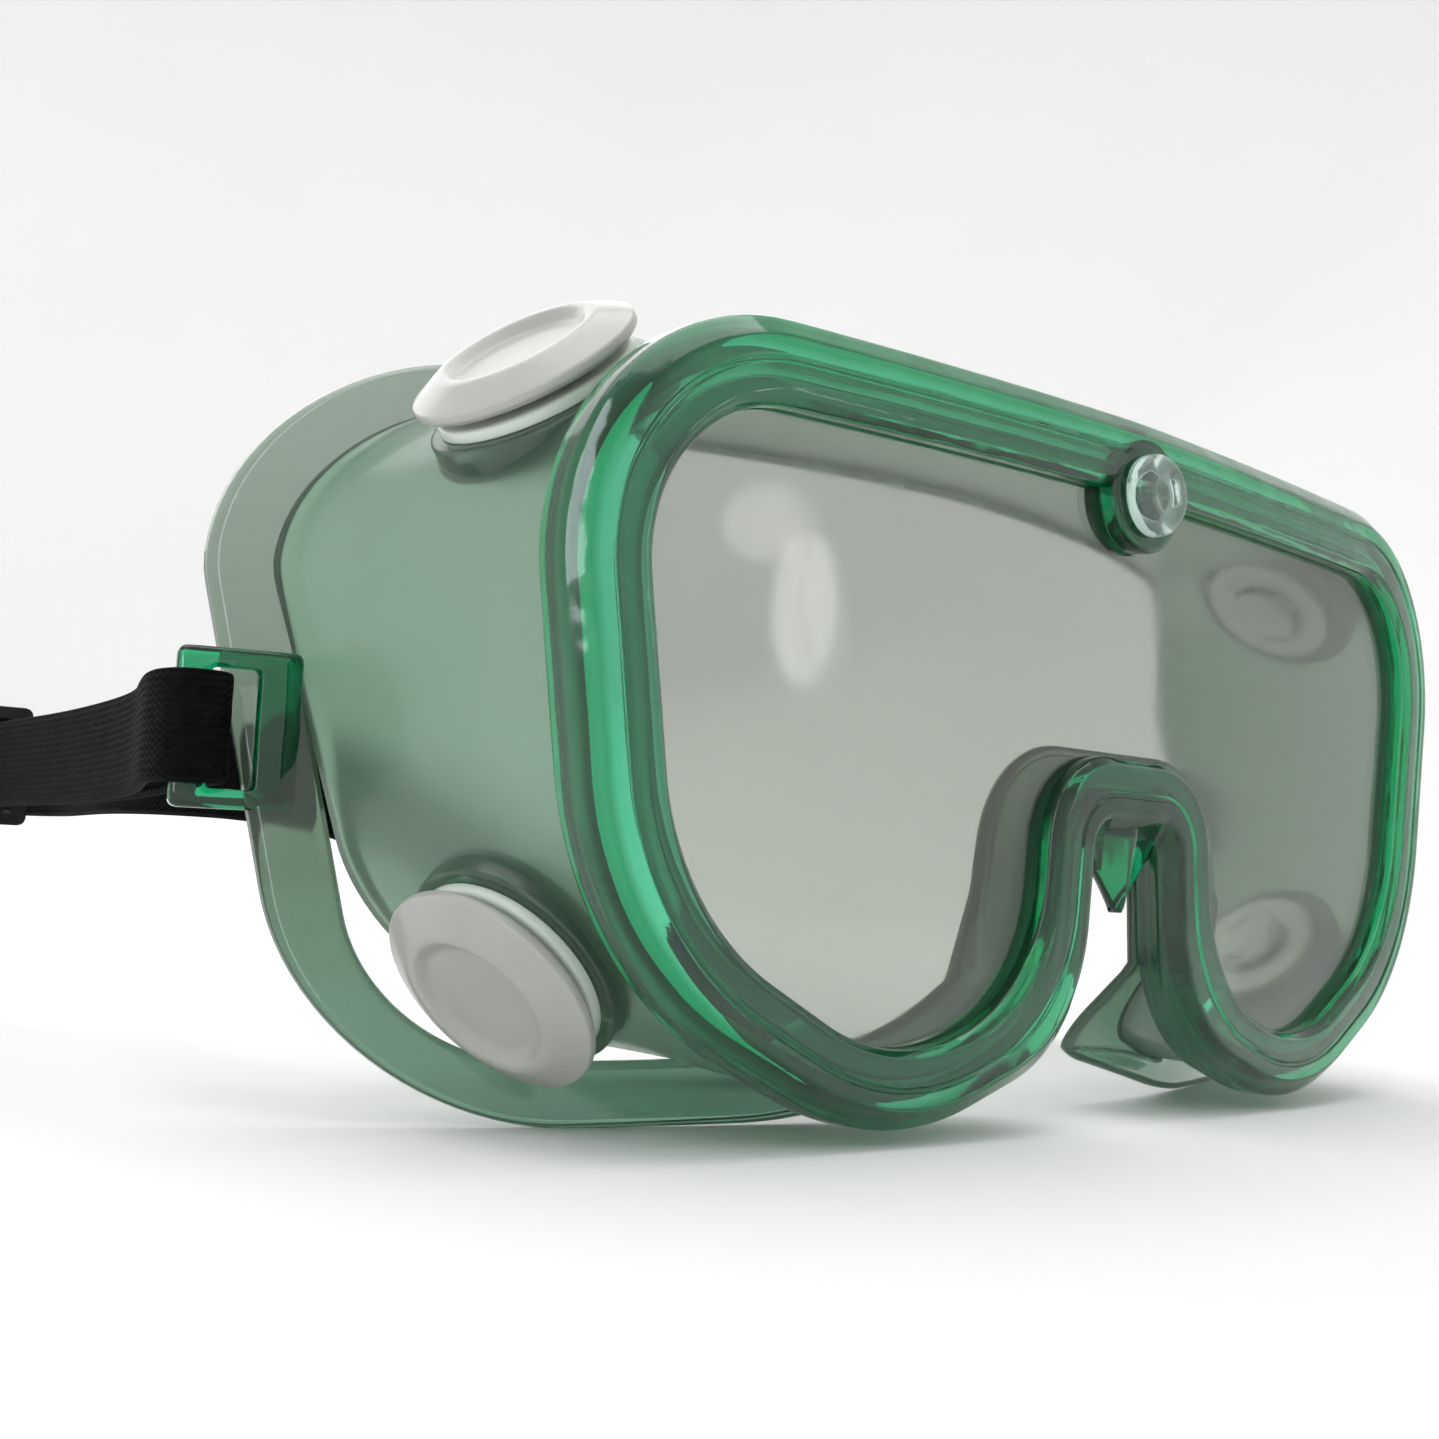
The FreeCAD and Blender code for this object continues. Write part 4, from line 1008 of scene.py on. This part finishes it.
def make_slider():
    """Moulded keeper: a square tube round both layers of the strap, flared at its two ends."""
    run = (SLIDER_REST - LEG_FRONT[1]) / LEG_ALONG
    x = LEG_FRONT[0] + run * LEG_ACROSS + SLIDER_INWARDS * LEG_ALONG
    y = SLIDER_REST - SLIDER_INWARDS * LEG_ACROSS
    middle = Vector((x, y + SHIFT_Y, SLIDER_Z + SHIFT_Z)) * MM
    turn = Matrix.Rotation(-math.atan2(LEG_ACROSS, LEG_ALONG), 4, "Z")
    place = Matrix.Translation(middle) @ turn
    end = SLIDER_LENGTH / 2
    stations = [
        (-end, SLIDER_FLARE), (SLIDER_FLARE - end, 0), (end - SLIDER_FLARE, 0), (end, SLIDER_FLARE),
    ]
    loops = []
    mesh = bmesh.new()
    for u, v, radius, order in ((3.65, 7.75, 1.4, stations), (2.05, 6.15, 0.5, stations[::-1])):
        shape = rounded([(-u, -v), (u, -v), (u, v), (-u, v)], radius, 8)
        for depth, flare in order:
            loop = []
            for a, b in shape:
                point = Vector((a + math.copysign(flare, a), depth, b + math.copysign(flare, b)))
                loop.append(mesh.verts.new(place @ (point * MM)))
            loops.append(loop)
    strips(mesh, loops + loops[:1])
    bmesh.ops.recalc_face_normals(mesh, faces=mesh.faces)
    piece = from_bmesh("slider_keeper", mesh, slider_material(), sharp=40)
    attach(piece, "slider")
    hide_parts("strap_slider")
    return piece


strap, strap_line, strap_length = make_strap()
slider = make_slider()


# ---------------------------------------------------------------- stage


def make_stage():
    """Pale round floor that curves up into a backdrop, broad soft lights and an even sky."""
    n = Nodes("pale_paper")
    tint = n.ramp(n.noise(3, 2).outputs["Fac"], [
        (0.3, (0.93, 0.93, 0.925, 1)), (0.7, (0.95, 0.95, 0.945, 1)),
    ])
    shader = n.add("BsdfPrincipled", {
        "Base Color": tint, "Roughness": 0.9, "Specular IOR Level": 0.1,
    })
    paper = n.surface(shader)
    bend, far, high, around, steps = 0.5, 1.6, 2.6, 96, 16
    profile = [(1e-4, 0.0), (far - bend, 0.0)]
    for step in range(1, steps + 1):
        angle = math.pi / 2 * step / steps
        profile.append((far - bend + bend * math.sin(angle), bend - bend * math.cos(angle)))
    profile.append((far, high))
    turns = 2 * math.pi * np.arange(around) / around
    rows = [
        np.stack([r * np.cos(turns), r * np.sin(turns), np.full(around, h)], -1) for r, h in profile
    ]
    vertices, faces = ring_mesh(np.array(rows), False)
    floor = new_object("floor", vertices, faces, paper)

    def light(name, place, size, power, target=(0, 0, 0.04), colour=(1, 1, 1), shape="RECTANGLE"):
        """Lamp of a size in metres and a power in watts, hidden from the camera and through clear parts."""
        data = bpy.data.lights.new(name, "AREA")
        data.shape = shape
        data.size, data.size_y = size
        data.energy = power
        data.color = colour
        lamp = bpy.data.objects.new(name, data)
        bpy.context.collection.objects.link(lamp)
        lamp.visible_camera = False
        lamp.visible_transmission = False
        lamp.location = place
        lamp.rotation_mode = "QUATERNION"
        lamp.rotation_quaternion = (Vector(target) - Vector(place)).to_track_quat("-Z", "Y")

    light("top", (0, 0.1, 1.3), (1.2, 1.2), 7)
    light("front_left", (-0.85, -0.55, 0.5), (0.09, 1.3), 2.2, colour=(0.86, 0.96, 1.0))
    # two small lamps that the lens mirrors as its soft glare
    light(
        "glare", (0.505, -0.865, 0.262), (0.09, 0.05), 0.032, (-0.054, -0.024, 0.061),
        shape="ELLIPSE",
    )
    light(
        "glare_low", (0.54, -0.835, 0.205), (0.07, 0.10), 0.08, (-0.051, -0.024, 0.054),
        shape="ELLIPSE",
    )
    light("back", (0.3, 1.05, 0.7), (1.4, 0.9), 5)
    world = bpy.data.worlds.new("studio")
    scene = bpy.context.scene
    scene.world = world
    world.use_nodes = True
    background = world.node_tree.nodes["Background"]
    background.inputs["Color"].default_value = (1, 1, 1, 1)
    background.inputs["Strength"].default_value = 0.74
    scene.view_settings.view_transform = "Standard"
    scene.cycles.max_bounces = 16
    scene.cycles.transmission_bounces = 14
    scene.cycles.transparent_max_bounces = 16


make_stage()
